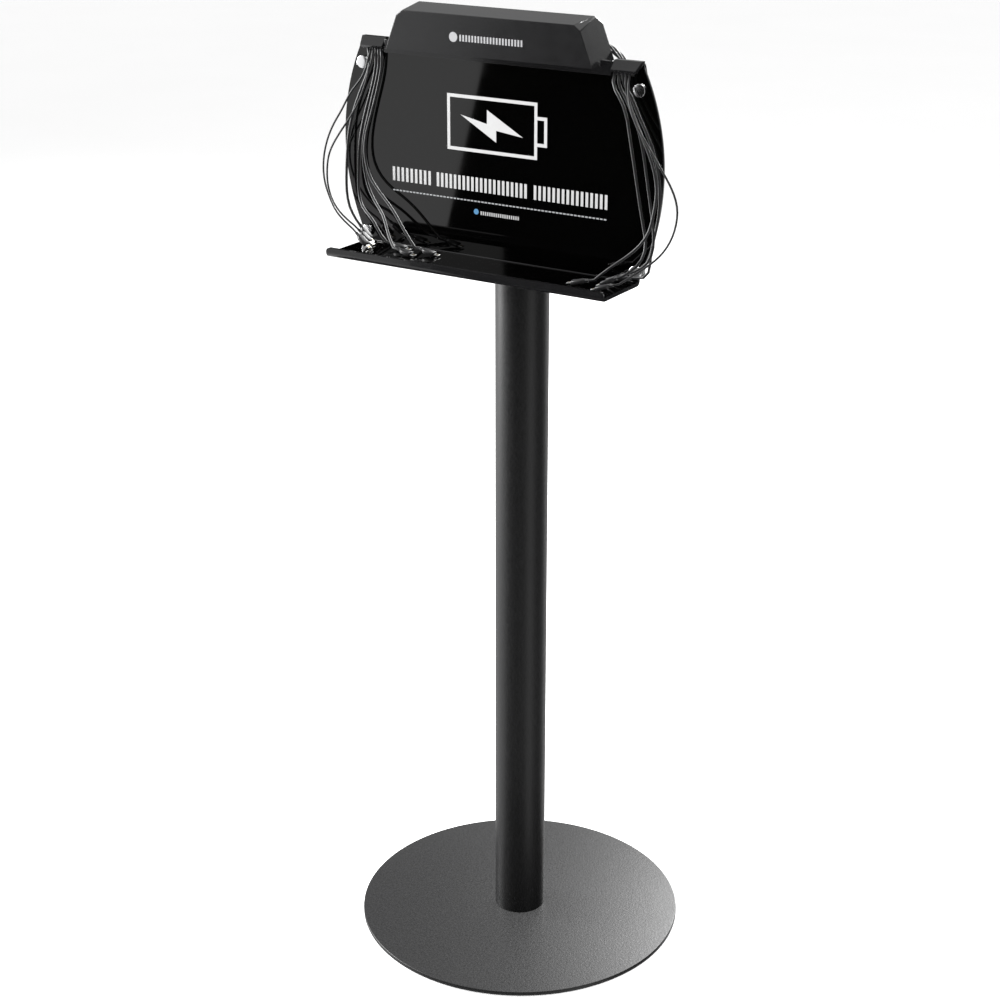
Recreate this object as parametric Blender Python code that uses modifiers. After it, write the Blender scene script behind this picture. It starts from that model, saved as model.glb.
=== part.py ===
"""Phone charging kiosk: a round base, a pole, and a bent panel with a shelf, a hood and charging leads.

Metres, +Z up. The origin is on the pole's axis at floor level. The front faces -Y.
"""

import math

import bmesh
import bpy
import numpy as np
from mathutils import Matrix, Vector

MM = 0.001

# Clearances
GAP = 0.3 * MM  # between pieces that touch
HOLE_PLAY = 0.3 * MM  # radial play of a screw, stud or bolt in its hole
SHEET_PLAY = 0.4 * MM  # between folded or bent sheets

# Base
BASE_DIAMETER = 457.0 * MM
BASE_THICKNESS = 6.0 * MM
BASE_EDGE = 1.2 * MM
PAD_DIAMETER = 36.0 * MM
PAD_THICKNESS = 2.0 * MM
PAD_INSET = 36.0 * MM  # from the rim of the base to the middle of a pad
BASE_BOLT_RADIUS = 6.0 * MM
BASE_BOLT_HEAD_RADIUS = 11.0 * MM
BASE_BOLT_HEAD_HEIGHT = 4.4 * MM

# Pole
POLE_DIAMETER = 71.0 * MM
POLE_WALL = 2.5 * MM
POLE_LENGTH = 1219.0 * MM
POLE_SEGMENTS = 64
INSERT_HEIGHT = 16.0 * MM
CAP_FLANGE = 3.0 * MM
CAP_PLUG = 12.0 * MM
CAP_HOLE_RADIUS = 7.0 * MM
GROMMET_RADIUS = 8.0 * MM
GROMMET_FLANGE = 2.5 * MM
GROMMET_HEIGHT = 60.0 * MM

# Panel, shelf and lip: one bent sheet
SHEET = 5.0 * MM
PANEL_STANDOFF = 26.5 * MM  # of the panel's face in front of the pole
PANEL_HEIGHT = 257.0 * MM  # above the shelf, at its ears under the exit guards
PANEL_EAR = 2.8 * MM  # of the ears above the stretch between them
SHELF_HALF_WIDTH = 202.5 * MM
SHELF_DEPTH = 83.2 * MM  # panel face to lip face, inside
LIP_HEIGHT = 7.6 * MM  # above the shelf
LIP_CORNER = 5.0 * MM
BEND_RADIUS = 1.5 * MM  # inner
BEND_STEPS = 4
BOW_BULGE = 29.5 * MM  # of the panel's sides past the shelf's ends
BOW_RADIUS = 280.0 * MM
BOW_HEIGHT = 130.6 * MM  # of the widest place above the shelf
BOW_STEPS = 18

# Back plate and its spacers
SPACER = 5.0 * MM
SPACER_RADIUS = 7.0 * MM
PLATE_THICKNESS = 2.5 * MM
PLATE_INSET = 6.0 * MM
PLATE_FOOT = 10.0 * MM  # round the lower studs, where the plate isn't inset

# Standoff caps
CAP_RADIUS = 8.0 * MM
CAP_HEIGHT = 5.0 * MM
STUD_RADIUS = 2.5 * MM
STUD_INSET = 3.0 * MM  # from the shelf's ends
STUD_DROP = 26.0 * MM  # of the upper studs under the panel's top
STUD_RISE = 12.6 * MM  # of the lower studs above the shelf

# Pole mount
SADDLE_WIDTH = 44.0 * MM
SADDLE_HEIGHT = 40.0 * MM
SADDLE_DROP = 54.4 * MM  # of the upper saddle under the panel's top
SADDLE_RISE = 62.6 * MM  # of the lower saddle above the shelf
MOUNT_BOLT_RADIUS = 4.0 * MM
MOUNT_HEAD_RADIUS = 7.0 * MM
MOUNT_HEAD_HEIGHT = 4.4 * MM
MOUNT_NUT_FLATS = 13.0 * MM
MOUNT_NUT_HEIGHT = 11.0 * MM

# Lead exits
GUARD_WIDTH = 36.4 * MM
GUARD_INSET = 1.8 * MM  # from the shelf's ends
GUARD_HEADROOM = 1.9 * MM  # over the panel's ears
GUARD_FLAP = 14.5 * MM
GUARD_TAPER = 3.4 * MM
GUARD_LAP = 1.23 * MM  # of the flange over the leg
GUARD_LEG_WIDTH = 11.0 * MM
GUARD_LEG_DROP = 10.4 * MM  # under the stud
GUARD_WELD = 0.3 * MM  # of the leg inside the flange's edges
NOTCH_WIDTH = 25.2 * MM
NOTCH_DEPTH = 11.1 * MM
NOTCH_MARGIN = 1.1 * MM  # from the guard's inner end
BUSHING_HEIGHT = 6.4 * MM
BUSHING_PROUD = 3.5 * MM  # before the panel and behind the plate
BUSHING_CHAMFER = 0.8 * MM
LEAD_EXIT_RISE = 2.4 * MM  # of the leads above the bushing's underside

# Hood
HOOD_CLEARANCE = 9.1 * MM  # over the pole's cap
HOOD_REACH = 25.0 * MM  # in front of the panel
HOOD_DEPTH = 56.0 * MM
HOOD_TOP_DEPTH = 43.0 * MM  # front to crest
HOOD_HEADROOM = 9.9 * MM  # of the front's top edge over the charger
HOOD_TOP_RISE = 5.7 * MM  # front to crest
HOOD_REAR_FALL = 9.7 * MM  # crest to the rear's top edge
HOOD_SHOULDER = 6.5 * MM  # cut from the front's upper corners, upwards
HOOD_SHOULDER_WIDTH = 9.0 * MM  # and sideways
HOOD_END_SLOPE = 16.7 * MM  # from an end's foot to its shoulder
HOOD_CREST_LAP = 3.4 * MM  # of the crest past the front's top edge, sideways
HOOD_WALL = 2.0 * MM
HOOD_EDGE = 1.6 * MM
HOOD_SCREW_INSET = 55.7 * MM
HOOD_SCREW_RADIUS = 1.5 * MM
HOOD_SCREW_HEAD_RADIUS = 3.0 * MM
HOOD_SCREW_HEAD = 2.0 * MM
HOOD_SCREW_LENGTH = 8.0 * MM

# Hood bar and tray
BAR_MARGIN = 1.3 * MM  # from the guard
BAR_THICKNESS = 5.7 * MM
BAR_BELOW = 9.0 * MM  # under the hood
BAR_ABOVE = 7.7 * MM  # over the hood's foot, outside the hood
BAR_OVERHANG = 15.3 * MM  # past the hood's ends
BAR_SLOT = 4.6 * MM  # for the hood's end
TRAY_SHEET = 2.0 * MM
TRAY_RISE = 4.3 * MM  # of its underside over the hood's foot
TRAY_INSET = 5.7 * MM
TRAY_WALL_INSET = 42.7 * MM
TRAY_WALL_TOP = 4.0 * MM  # under the hood's rear top edge
TRAY_LEG_HALF_WIDTH = 45.0 * MM
TRAY_LEG_DEPTH = 26.0 * MM

# Charger
CHARGER_INSET = 52.7 * MM  # from the foot of the hood's ends
CHARGER_DEPTH = 28.0 * MM
CHARGER_HEIGHT = 32.0 * MM
CHARGER_EDGE = 2.0 * MM
CHARGER_MARGIN = 2.0 * MM  # behind the hood's front

# Mains inlet and its rocker
INLET_WIDTH = 58.0 * MM
INLET_HEIGHT = 23.0 * MM
INLET_FACE = 1.5 * MM
INLET_LIP = 2.0 * MM  # of the face round the body
INLET_DEPTH = 15.5 * MM
INLET_CLEARANCE = 0.9 * MM  # under the hood's lap
SOCKET_WIDTH = 24.4 * MM
SOCKET_HEIGHT = 17.0 * MM
SOCKET_DEPTH = 13.0 * MM
SOCKET_CORNER = 4.5 * MM
SOCKET_OFFSET = 13.0 * MM  # from the inlet's middle
PIN_PITCH = 7.0 * MM
PIN_WIDTH = 2.0 * MM
PIN_HEIGHT = 4.0 * MM
PIN_STAGGER = 2.0 * MM
PIN_SHORT = 1.0 * MM  # of the face
ROCKER_OFFSET = 17.0 * MM  # from the inlet's middle
ROCKER_WIDTH = 12.0 * MM
ROCKER_HEIGHT = 12.4 * MM
ROCKER_DEPTH = 7.0 * MM
ROCKER_PROUD = 1.5 * MM
ROCKER_DISH = 1.4 * MM
ROCKER_TILT = math.radians(10)
ROCKER_PLAY = 1.2 * MM
PIVOT_DEPTH = 3.5 * MM  # before the tray's wall
WELL_FLOOR = 2.5 * MM  # under the rocker

# Leads
ROUND_LEAD = 3.6 * MM
THIN_LEAD = 2.6 * MM
LEAD_STEP = 2.8  # diameters from one point of a lead to the next
LEAD_STRAIGHT = 7.0 * MM  # of a lead behind its connector
LEAD_NOSE = 2.6 * MM  # of a lead straight out of its bushing
SLEEVE_DIAMETER = 8.0 * MM

# Connectors
RELIEF_LENGTH = 7.0 * MM
RELIEF_WALL = 0.9 * MM
BODY_LENGTH = 15.5 * MM
BODY_WIDTH = 10.5 * MM
BODY_HEIGHT = 5.6 * MM
BODY_EDGE = 1.2 * MM
TONGUE_LENGTH = 6.7 * MM
TONGUE_WIDTH = 6.7 * MM
TONGUE_HEIGHT = 1.6 * MM

# Each lead: diameter, exit X, the route's points between the bushing and the connector, then the connector's
# tail X and Y, its heading from +X and its dip below level. Millimetres and degrees. Left is -X.
LEADS = {
    "left_1": (
        THIN_LEAD,
        -184,
        [(-185, -73, 1222), (-189, -79, 1203), (-206, -83, 1180), (-219, -85, 1158), (-231, -87, 1139),
         (-243, -89, 1112), (-247.5, -91, 1083), (-244, -93, 1061), (-236, -95, 1044), (-224, -98, 1028)],
        (-191, -100, -6, 36),
    ),
    "left_2": (
        THIN_LEAD,
        -180,
        [(-180, -72, 1222), (-184, -75, 1204), (-199, -78, 1166), (-218, -80, 1138), (-233, -82, 1117),
         (-244, -83, 1096), (-247, -84, 1076), (-246, -84, 1055), (-239, -85, 1038), (-227, -86, 1024)],
        (-197, -87, 4, 38),
    ),
    "left_3": (
        ROUND_LEAD,
        -188,
        [(-186.5, -68, 1222), (-188, -67, 1211), (-194, -66, 1198), (-209, -66, 1167), (-218, -68, 1140),
         (-222, -70, 1116), (-224, -71, 1092), (-225, -72, 1067), (-224, -73, 1046), (-219, -74, 1028)],
        (-203, -75, 0, 46),
    ),
    "left_4": (
        ROUND_LEAD,
        -176,
        [(-177, -67, 1222), (-180, -65.5, 1207), (-189, -65.5, 1176), (-199, -66, 1145), (-206, -66, 1116),
         (-209, -66, 1085), (-208, -69, 1053), (-202, -73, 1037), (-190, -79, 1027), (-176, -84, 1019),
         (-163, -86, 1003)],
        (-146, -86, 4, 10),
    ),
    "left_5": (
        ROUND_LEAD,
        -172,
        [(-172.5, -67, 1222), (-175, -66, 1207), (-184, -66, 1176), (-193, -66, 1146), (-200.5, -66, 1117),
         (-201, -66, 1086), (-195, -68, 1063), (-186, -71, 1048), (-174, -76, 1037), (-158, -84, 1024),
         (-145, -94, 1008)],
        (-123, -104, -6, 8),
    ),
    "left_6": (
        ROUND_LEAD,
        -168,
        [(-168, -67, 1222), (-170, -67, 1207), (-178.5, -67, 1176), (-188, -68, 1146), (-195, -70, 1117),
         (-194, -71, 1091), (-186, -73, 1072), (-171, -76, 1056), (-155, -80, 1044), (-137, -85, 1028),
         (-120, -89, 1009)],
        (-98, -91, 3, 10),
    ),
    "right_1": (
        ROUND_LEAD,
        168,
        [(168, -72, 1226), (173, -76, 1217), (183, -78, 1204), (190, -78, 1188), (194, -77, 1167),
         (199, -76, 1139), (204, -75, 1110), (210, -75, 1080), (216, -76, 1055), (221, -80, 1037),
         (220, -89, 1020)],
        (195, -100, 185, 24),
    ),
    "right_2": (
        ROUND_LEAD,
        173,
        [(175, -71, 1224), (184.5, -71, 1207), (194.5, -71, 1188), (203, -71, 1170), (210, -72, 1147),
         (218, -73, 1108), (223, -73.5, 1082), (228, -75, 1056), (230, -78, 1034), (225, -82, 1017)],
        (194, -86, 176, 24),
    ),
    "right_3": (
        ROUND_LEAD,
        183,
        [(184, -70, 1222), (190, -73, 1204), (200, -75, 1184), (212, -77, 1163), (224, -79, 1141),
         (232, -80, 1117), (234, -81, 1098), (232, -83, 1077), (228, -87, 1055), (217, -92, 1037),
         (201, -98, 1022), (186, -104, 1010)],
        (162, -111, 186, 12),
    ),
    "right_4": (
        THIN_LEAD,
        188,
        [(188.5, -72, 1222), (193, -78, 1206), (205, -83, 1182), (221, -85, 1160), (242, -86, 1132),
         (258, -87, 1109), (265.5, -88, 1089), (265, -89, 1069), (258, -91, 1047), (247, -95, 1030),
         (231, -103, 1015)],
        (200, -119, 190, 16),
    ),
    "right_5": (
        ROUND_LEAD,
        178,
        [(180, -67.5, 1223), (187, -66, 1212), (196, -65, 1194), (208, -65, 1172), (219, -65.5, 1150),
         (228, -66, 1121), (231, -66, 1092), (229, -67, 1061), (225, -69, 1037), (224, -72, 1020),
         (224.5, -75, 1008), (221, -76, 999)],
        (200, -74, 180, 12),
    ),
}

# The sleeve's points from the charger's end to the bushing, for the side at +X, in millimetres
SLEEVE_ROUTE = [(102, -61, 1255), (110, -56, 1257.5), (117, -46, 1259.5), (122, -36, 1260), (128, -27, 1259),
                (137, -23, 1254.5), (146, -25.5, 1250.5), (157, -31, 1245.5), (167, -36, 1239.5),
                (174, -38.5, 1236), (178, -41.5, 1234.8)]

COLLECTION = "phone_charging_kiosk"
CUTTERS = "cutters"

# Sizes that follow from those above, upwards from the floor and then forwards from the pole
BASE_BOTTOM_Z = PAD_THICKNESS + GAP
BASE_TOP_Z = BASE_BOTTOM_Z + BASE_THICKNESS
POLE_BOTTOM_Z = BASE_TOP_Z + GAP
POLE_TOP_Z = POLE_BOTTOM_Z + POLE_LENGTH
POLE_RADIUS = POLE_DIAMETER / 2
BORE_RADIUS = POLE_RADIUS - POLE_WALL

HOOD_BOTTOM_Z = POLE_TOP_Z + GAP + CAP_FLANGE + HOOD_CLEARANCE
PANEL_CREST_Z = HOOD_BOTTOM_Z - SHEET_PLAY
PANEL_TOP_Z = PANEL_CREST_Z + PANEL_EAR
SHELF_TOP_Z = PANEL_TOP_Z - PANEL_HEIGHT
SHELF_BOTTOM_Z = SHELF_TOP_Z - SHEET
LIP_TOP_Z = SHELF_TOP_Z + LIP_HEIGHT
STUD_Z = {"upper": PANEL_TOP_Z - STUD_DROP, "lower": SHELF_TOP_Z + STUD_RISE}
SADDLE_Z = {"upper": PANEL_TOP_Z - SADDLE_DROP, "lower": SHELF_TOP_Z + SADDLE_RISE}
GUARD_TOP_Z = PANEL_TOP_Z + GUARD_HEADROOM + SHEET
NOTCH_FLOOR_Z = PANEL_TOP_Z - NOTCH_DEPTH
BUSHING_BOTTOM_Z = NOTCH_FLOOR_Z + GAP
LEAD_EXIT_Z = BUSHING_BOTTOM_Z + LEAD_EXIT_RISE
TRAY_BOTTOM_Z = HOOD_BOTTOM_Z + TRAY_RISE
TRAY_FLOOR_Z = TRAY_BOTTOM_Z + TRAY_SHEET
CHARGER_TOP_Z = TRAY_FLOOR_Z + GAP + CHARGER_HEIGHT
HOOD_BROW_Z = CHARGER_TOP_Z + HOOD_HEADROOM
HOOD_SHOULDER_Z = HOOD_BROW_Z - HOOD_SHOULDER
HOOD_CREST_Z = HOOD_BROW_Z + HOOD_TOP_RISE
HOOD_REAR_Z = HOOD_CREST_Z - HOOD_REAR_FALL
INLET_Z = TRAY_FLOOR_Z + GAP + INLET_HEIGHT / 2
HOOD_LAP_Z = INLET_Z + INLET_HEIGHT / 2 + INLET_CLEARANCE
HOOD_SCREW_Z = (HOOD_REAR_Z + HOOD_LAP_Z) / 2

PANEL_FRONT_Y = -POLE_RADIUS - PANEL_STANDOFF
PANEL_BACK_Y = PANEL_FRONT_Y + SHEET
LIP_FRONT_Y = PANEL_FRONT_Y - SHELF_DEPTH - SHEET
PLATE_FRONT_Y = PANEL_BACK_Y + SPACER + 2 * GAP
PLATE_BACK_Y = PLATE_FRONT_Y + PLATE_THICKNESS
BUSHING_FRONT_Y = PANEL_FRONT_Y - BUSHING_PROUD
HOOD_FRONT_Y = PANEL_FRONT_Y - HOOD_REACH
HOOD_CREST_Y = HOOD_FRONT_Y + HOOD_TOP_DEPTH
HOOD_REAR_Y = HOOD_FRONT_Y + HOOD_DEPTH
TRAY_WALL_Y = HOOD_REAR_Y - HOOD_WALL - GAP
# where the guard bends, so that its sloping flap just clears the panel's top front edge
GUARD_BEND_Y = PANEL_FRONT_Y + GUARD_TOP_Z - SHEET * math.sqrt(2) - PANEL_TOP_Z - SHEET_PLAY
GUARD_REAR_Y = PANEL_BACK_Y + GAP + GUARD_LAP

STUD_X = SHELF_HALF_WIDTH - STUD_INSET
GUARD_OUTER_X = SHELF_HALF_WIDTH - GUARD_INSET
GUARD_INNER_X = GUARD_OUTER_X - GUARD_WIDTH
NOTCH_INNER_X = GUARD_INNER_X + NOTCH_MARGIN
NOTCH_OUTER_X = NOTCH_INNER_X + NOTCH_WIDTH
BAR_HALF_LENGTH = GUARD_INNER_X - BAR_MARGIN
HOOD_BOTTOM_X = BAR_HALF_LENGTH - BAR_OVERHANG
HOOD_SHOULDER_X = HOOD_BOTTOM_X - HOOD_END_SLOPE
HOOD_BROW_X = HOOD_SHOULDER_X - HOOD_SHOULDER_WIDTH
HOOD_CREST_X = HOOD_BROW_X + HOOD_CREST_LAP
HOOD_SCREW_X = HOOD_BOTTOM_X - HOOD_SCREW_INSET
TRAY_HALF_LENGTH = HOOD_BOTTOM_X - TRAY_INSET
TRAY_WALL_HALF_LENGTH = HOOD_BOTTOM_X - TRAY_WALL_INSET
CHARGER_HALF_LENGTH = HOOD_BOTTOM_X - CHARGER_INSET
INLET_X = -TRAY_WALL_HALF_LENGTH / 2
ROCKER_PIVOT = Vector((INLET_X + ROCKER_OFFSET, TRAY_WALL_Y - PIVOT_DEPTH, INLET_Z))


def clear_scene():
    """Empties the scene and makes the part's two collections."""
    for obj in list(bpy.data.objects):
        bpy.data.objects.remove(obj)
    for name in (COLLECTION, CUTTERS):
        collection = bpy.data.collections.new(name)
        bpy.context.scene.collection.children.link(collection)
    bpy.data.collections[CUTTERS].hide_render = True


def material(name, color, metallic, roughness):
    """A Principled material in one flat colour."""
    made = bpy.data.materials.new(name)
    made.use_nodes = True
    shader = made.node_tree.nodes["Principled BSDF"]
    shader.inputs["Base Color"].default_value = (*color, 1.0)
    shader.inputs["Metallic"].default_value = metallic
    shader.inputs["Roughness"].default_value = roughness
    return made


def make_materials():
    """Every finish of the kiosk by name."""
    return {
        "powder_coat": material("powder_coat", (0.07, 0.07, 0.072), 0.3, 0.42),
        "satin_black": material("satin_black", (0.03, 0.03, 0.031), 0.2, 0.35),
        "acrylic": material("acrylic", (0.008, 0.008, 0.009), 0.0, 0.05),
        "chrome": material("chrome", (0.82, 0.82, 0.83), 1.0, 0.08),
        "zinc": material("zinc", (0.55, 0.55, 0.56), 1.0, 0.35),
        "rubber": material("rubber", (0.02, 0.02, 0.02), 0.0, 0.7),
        "plastic": material("plastic", (0.025, 0.025, 0.027), 0.0, 0.45),
        "lead_jacket": material("lead_jacket", (0.018, 0.018, 0.019), 0.0, 0.4),
    }


def link(obj, finish=None):
    """Puts a piece in the part's collection with its own copy of a finish, or a cutter with the cutters."""
    for collection in obj.users_collection:
        collection.objects.unlink(obj)
    if finish is None:
        bpy.data.collections[CUTTERS].objects.link(obj)
        obj.hide_render = True
        obj.display_type = "WIRE"
        return obj
    bpy.data.collections[COLLECTION].objects.link(obj)
    obj.data.materials.clear()
    obj.data.materials.append(finish)
    return obj


def object_from(name, bm, finish=None, smooth=True):
    """An object that holds a bmesh."""
    mesh = bpy.data.meshes.new(name)
    bmesh.ops.recalc_face_normals(bm, faces=bm.faces)
    bm.to_mesh(mesh)
    bm.free()
    if smooth:
        mesh.shade_smooth()
        mesh.set_sharp_from_angle(angle=math.radians(35))
    obj = bpy.data.objects.new(name, mesh)
    bpy.context.scene.collection.objects.link(obj)
    return link(obj, finish)


def box(name, low, high, finish=None):
    """A block between two corners."""
    low = Vector(low)
    high = Vector(high)
    bm = bmesh.new()
    bmesh.ops.create_cube(bm, size=1.0)
    bmesh.ops.scale(bm, vec=high - low, verts=bm.verts)
    bmesh.ops.translate(bm, vec=(low + high) / 2, verts=bm.verts)
    return object_from(name, bm, finish, smooth=False)


def rod(name, radius, start, end, finish=None, sides=24):
    """A straight cylinder from one point to another."""
    start = Vector(start)
    end = Vector(end)
    along = end - start
    bm = bmesh.new()
    length = along.length
    bmesh.ops.create_cone(bm, cap_ends=True, segments=sides, radius1=radius, radius2=radius, depth=length)
    turn = along.to_track_quat("Z", "Y").to_matrix().to_4x4()
    bmesh.ops.transform(bm, matrix=Matrix.Translation((start + end) / 2) @ turn, verts=bm.verts)
    return object_from(name, bm, finish)


def turned(name, profile, finish, place=Matrix(), sides=32, closed=False):
    """A piece turned about its local Z from (radius, height) points that run down its outer side."""
    mesh = bpy.data.meshes.new(name)
    points = [(radius, 0.0, height) for radius, height in profile]
    edges = [(i, i + 1) for i in range(len(points) - 1)]
    if closed:
        edges.append((len(points) - 1, 0))
    mesh.from_pydata(points, edges, [])
    obj = bpy.data.objects.new(name, mesh)
    bpy.context.scene.collection.objects.link(obj)
    obj.matrix_world = place
    screw = obj.modifiers.new("turn", "SCREW")
    screw.steps = sides
    screw.render_steps = sides
    screw.use_merge_vertices = True
    screw.merge_threshold = 0.00001
    return link(obj, finish)


def evaluated_copy(obj, finish):
    """The object as a plain mesh in world space, which takes its name and place."""
    bpy.context.view_layer.update()
    graph = bpy.context.evaluated_depsgraph_get()
    mesh = bpy.data.meshes.new_from_object(obj.evaluated_get(graph))
    mesh.transform(obj.matrix_world)
    name = obj.name
    bpy.data.objects.remove(obj)
    bm = bmesh.new()
    bm.from_mesh(mesh)
    bpy.data.meshes.remove(mesh)
    bmesh.ops.remove_doubles(bm, verts=bm.verts, dist=0.000001)
    return object_from(name, bm, finish)


def outline_plate(name, points, back_y, thickness, finish=None):
    """A flat upright plate from (x, z) points, whose rear face is at back_y."""
    curve = bpy.data.curves.new(name, "CURVE")
    curve.dimensions = "2D"
    curve.fill_mode = "BOTH"
    curve.extrude = thickness / 2
    spline = curve.splines.new("POLY")
    spline.points.add(len(points) - 1)
    for point, (x, z) in zip(spline.points, points):
        point.co = (x, z, 0.0, 1.0)
    spline.use_cyclic_u = True
    obj = bpy.data.objects.new(name, curve)
    bpy.context.scene.collection.objects.link(obj)
    upright = Matrix.Rotation(math.pi / 2, 4, "X")
    obj.matrix_world = Matrix.Translation((0, back_y - thickness / 2, 0)) @ upright
    return evaluated_copy(obj, finish)


def combine(obj, others, operation="DIFFERENCE"):
    """Cuts pieces from an object, or joins them to it."""
    for other in others:
        if operation == "UNION":
            link(other)
        modifier = obj.modifiers.new(other.name, "BOOLEAN")
        modifier.operation = operation
        modifier.solver = "EXACT"
        modifier.object = other
    return obj


def bevel(obj, width, segments=1, angle=30):
    """Rounds or chamfers an object's edges."""
    modifier = obj.modifiers.new("edges", "BEVEL")
    modifier.width = width
    modifier.segments = segments
    modifier.limit_method = "ANGLE"
    modifier.angle_limit = math.radians(angle)
    return obj


def arc(centre, radius, start, end, steps):
    """Points of an arc in a plane, with both ends, from angles in degrees."""
    angles = [math.radians(start + (end - start) * i / steps) for i in range(steps + 1)]
    return [(centre[0] + radius * math.cos(a), centre[1] + radius * math.sin(a)) for a in angles]


def smooth_route(points, step):
    """Evenly spaced points along a natural cubic spline through the points."""
    knots = np.array(points, float)
    chord = np.concatenate([[0], np.cumsum(np.linalg.norm(np.diff(knots, axis=0), axis=1))])
    gaps = np.diff(chord)
    count = len(knots)
    system = np.zeros((count, count))
    right = np.zeros((count, 3))
    system[0, 0] = 1
    system[-1, -1] = 1
    for i in range(1, count - 1):
        system[i, i - 1] = gaps[i - 1]
        system[i, i] = 2 * (gaps[i - 1] + gaps[i])
        system[i, i + 1] = gaps[i]
        right[i] = 6 * ((knots[i + 1] - knots[i]) / gaps[i] - (knots[i] - knots[i - 1]) / gaps[i - 1])
    bend = np.linalg.solve(system, right)
    fine = np.linspace(0, chord[-1], 60 * count)
    span = np.clip(np.searchsorted(chord, fine, side="right") - 1, 0, count - 2)
    h = gaps[span][:, None]
    a = (chord[span + 1] - fine)[:, None] / h
    b = 1 - a
    curve = a * knots[span] + b * knots[span + 1]
    curve += ((a**3 - a) * bend[span] + (b**3 - b) * bend[span + 1]) * h**2 / 6
    run = np.concatenate([[0], np.cumsum(np.linalg.norm(np.diff(curve, axis=0), axis=1))])
    places = np.linspace(0, run[-1], max(3, round(run[-1] / step) + 1))
    return np.stack([np.interp(places, run, curve[:, axis]) for axis in range(3)], axis=1)


def tube(name, points, diameter, finish):
    """A round tube along a list of points, with closed ends."""
    curve = bpy.data.curves.new(name, "CURVE")
    curve.dimensions = "3D"
    curve.bevel_depth = diameter / 2
    curve.bevel_resolution = 2
    curve.use_fill_caps = True
    spline = curve.splines.new("POLY")
    spline.points.add(len(points) - 1)
    for point, place in zip(spline.points, points):
        point.co = (*place, 1.0)
    obj = bpy.data.objects.new(name, curve)
    bpy.context.scene.collection.objects.link(obj)
    return link(obj, finish)


# Stand


def make_base(finishes):
    """The steel disc, with a countersunk hole in the middle for the bolt that holds the pole."""
    radius = BASE_DIAMETER / 2
    bottom = BASE_BOTTOM_Z
    top = BASE_TOP_Z
    shank = BASE_BOLT_RADIUS + HOLE_PLAY
    head = BASE_BOLT_HEAD_RADIUS + 3 * HOLE_PLAY
    sink = BASE_BOLT_HEAD_HEIGHT + HOLE_PLAY
    profile = [(shank, top)]
    profile += arc((radius - BASE_EDGE, top - BASE_EDGE), BASE_EDGE, 90, 0, 2)
    profile += arc((radius - BASE_EDGE, bottom + BASE_EDGE), BASE_EDGE, 0, -90, 2)
    profile += [(head, bottom), (shank, bottom + sink)]
    turned("base_plate", profile, finishes["powder_coat"], sides=72, closed=True)


def make_pads(finishes):
    """Four rubber pads under the disc."""
    reach = BASE_DIAMETER / 2 - PAD_INSET
    places = {"front_left": 225, "front_right": 315, "rear_right": 45, "rear_left": 135}
    for name, angle in places.items():
        turn = math.radians(angle)
        place = Matrix.Translation((reach * math.cos(turn), reach * math.sin(turn), 0))
        radius = PAD_DIAMETER / 2
        profile = [(0, PAD_THICKNESS), (radius, PAD_THICKNESS), (radius, 0), (0, 0)]
        turned(f"base_pad_{name}", profile, finishes["rubber"], place, sides=24)


def make_base_bolt(finishes):
    """The countersunk bolt from under the disc into the pole's foot insert."""
    bottom = BASE_BOTTOM_Z + 0.3 * MM
    neck = bottom + BASE_BOLT_HEAD_HEIGHT
    end = POLE_BOTTOM_Z + INSERT_HEIGHT - 2 * MM
    profile = [
        (0, end),
        (BASE_BOLT_RADIUS - 1 * MM, end),
        (BASE_BOLT_RADIUS, end - 1 * MM),
        (BASE_BOLT_RADIUS, neck),
        (BASE_BOLT_HEAD_RADIUS, bottom),
        (0, bottom),
    ]
    turned("base_bolt", profile, finishes["zinc"], sides=24)


def make_foot_insert(finishes):
    """The steel plug welded in the bottom of the pole, tapped for the base bolt."""
    outer = BORE_RADIUS - GAP
    inner = BASE_BOLT_RADIUS + HOLE_PLAY
    bottom = POLE_BOTTOM_Z
    top = POLE_BOTTOM_Z + INSERT_HEIGHT
    profile = [(inner, top), (outer - 1 * MM, top), (outer, top - 1 * MM), (outer, bottom), (inner, bottom)]
    turned("pole_foot_insert", profile, finishes["zinc"], sides=48, closed=True)


def make_pole(finishes):
    """The tube, drilled for two mount bolts and the cord grommet."""
    profile = [
        (BORE_RADIUS, POLE_TOP_Z),
        (POLE_RADIUS, POLE_TOP_Z),
        (POLE_RADIUS, POLE_BOTTOM_Z),
        (BORE_RADIUS, POLE_BOTTOM_Z),
    ]
    pole = turned("pole_tube", profile, finishes["powder_coat"], sides=POLE_SEGMENTS, closed=True)
    reach = POLE_RADIUS + 10 * MM
    cutters = []
    for name, z in SADDLE_Z.items():
        radius = MOUNT_BOLT_RADIUS + HOLE_PLAY
        cutters.append(rod(f"cut_pole_{name}", radius, (0, -reach, z), (0, reach, z), sides=16))
    grommet = GROMMET_RADIUS
    cutters.append(
        rod("cut_pole_grommet", grommet, (0, 10 * MM, GROMMET_HEIGHT), (0, reach, GROMMET_HEIGHT), sides=24)
    )
    combine(pole, cutters)


def make_pole_cap(finishes):
    """The plastic cap in the top of the pole, with a hole for the mains cord."""
    plug = BORE_RADIUS - GAP
    seat = POLE_TOP_Z + GAP
    top = seat + CAP_FLANGE
    profile = [
        (CAP_HOLE_RADIUS, top),
        (POLE_RADIUS - 1 * MM, top),
        (POLE_RADIUS, top - 1 * MM),
        (POLE_RADIUS, seat),
        (plug, seat),
        (plug, seat - CAP_PLUG),
        (CAP_HOLE_RADIUS, seat - CAP_PLUG),
    ]
    turned("pole_cap", profile, finishes["plastic"], sides=48, closed=True)


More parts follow.
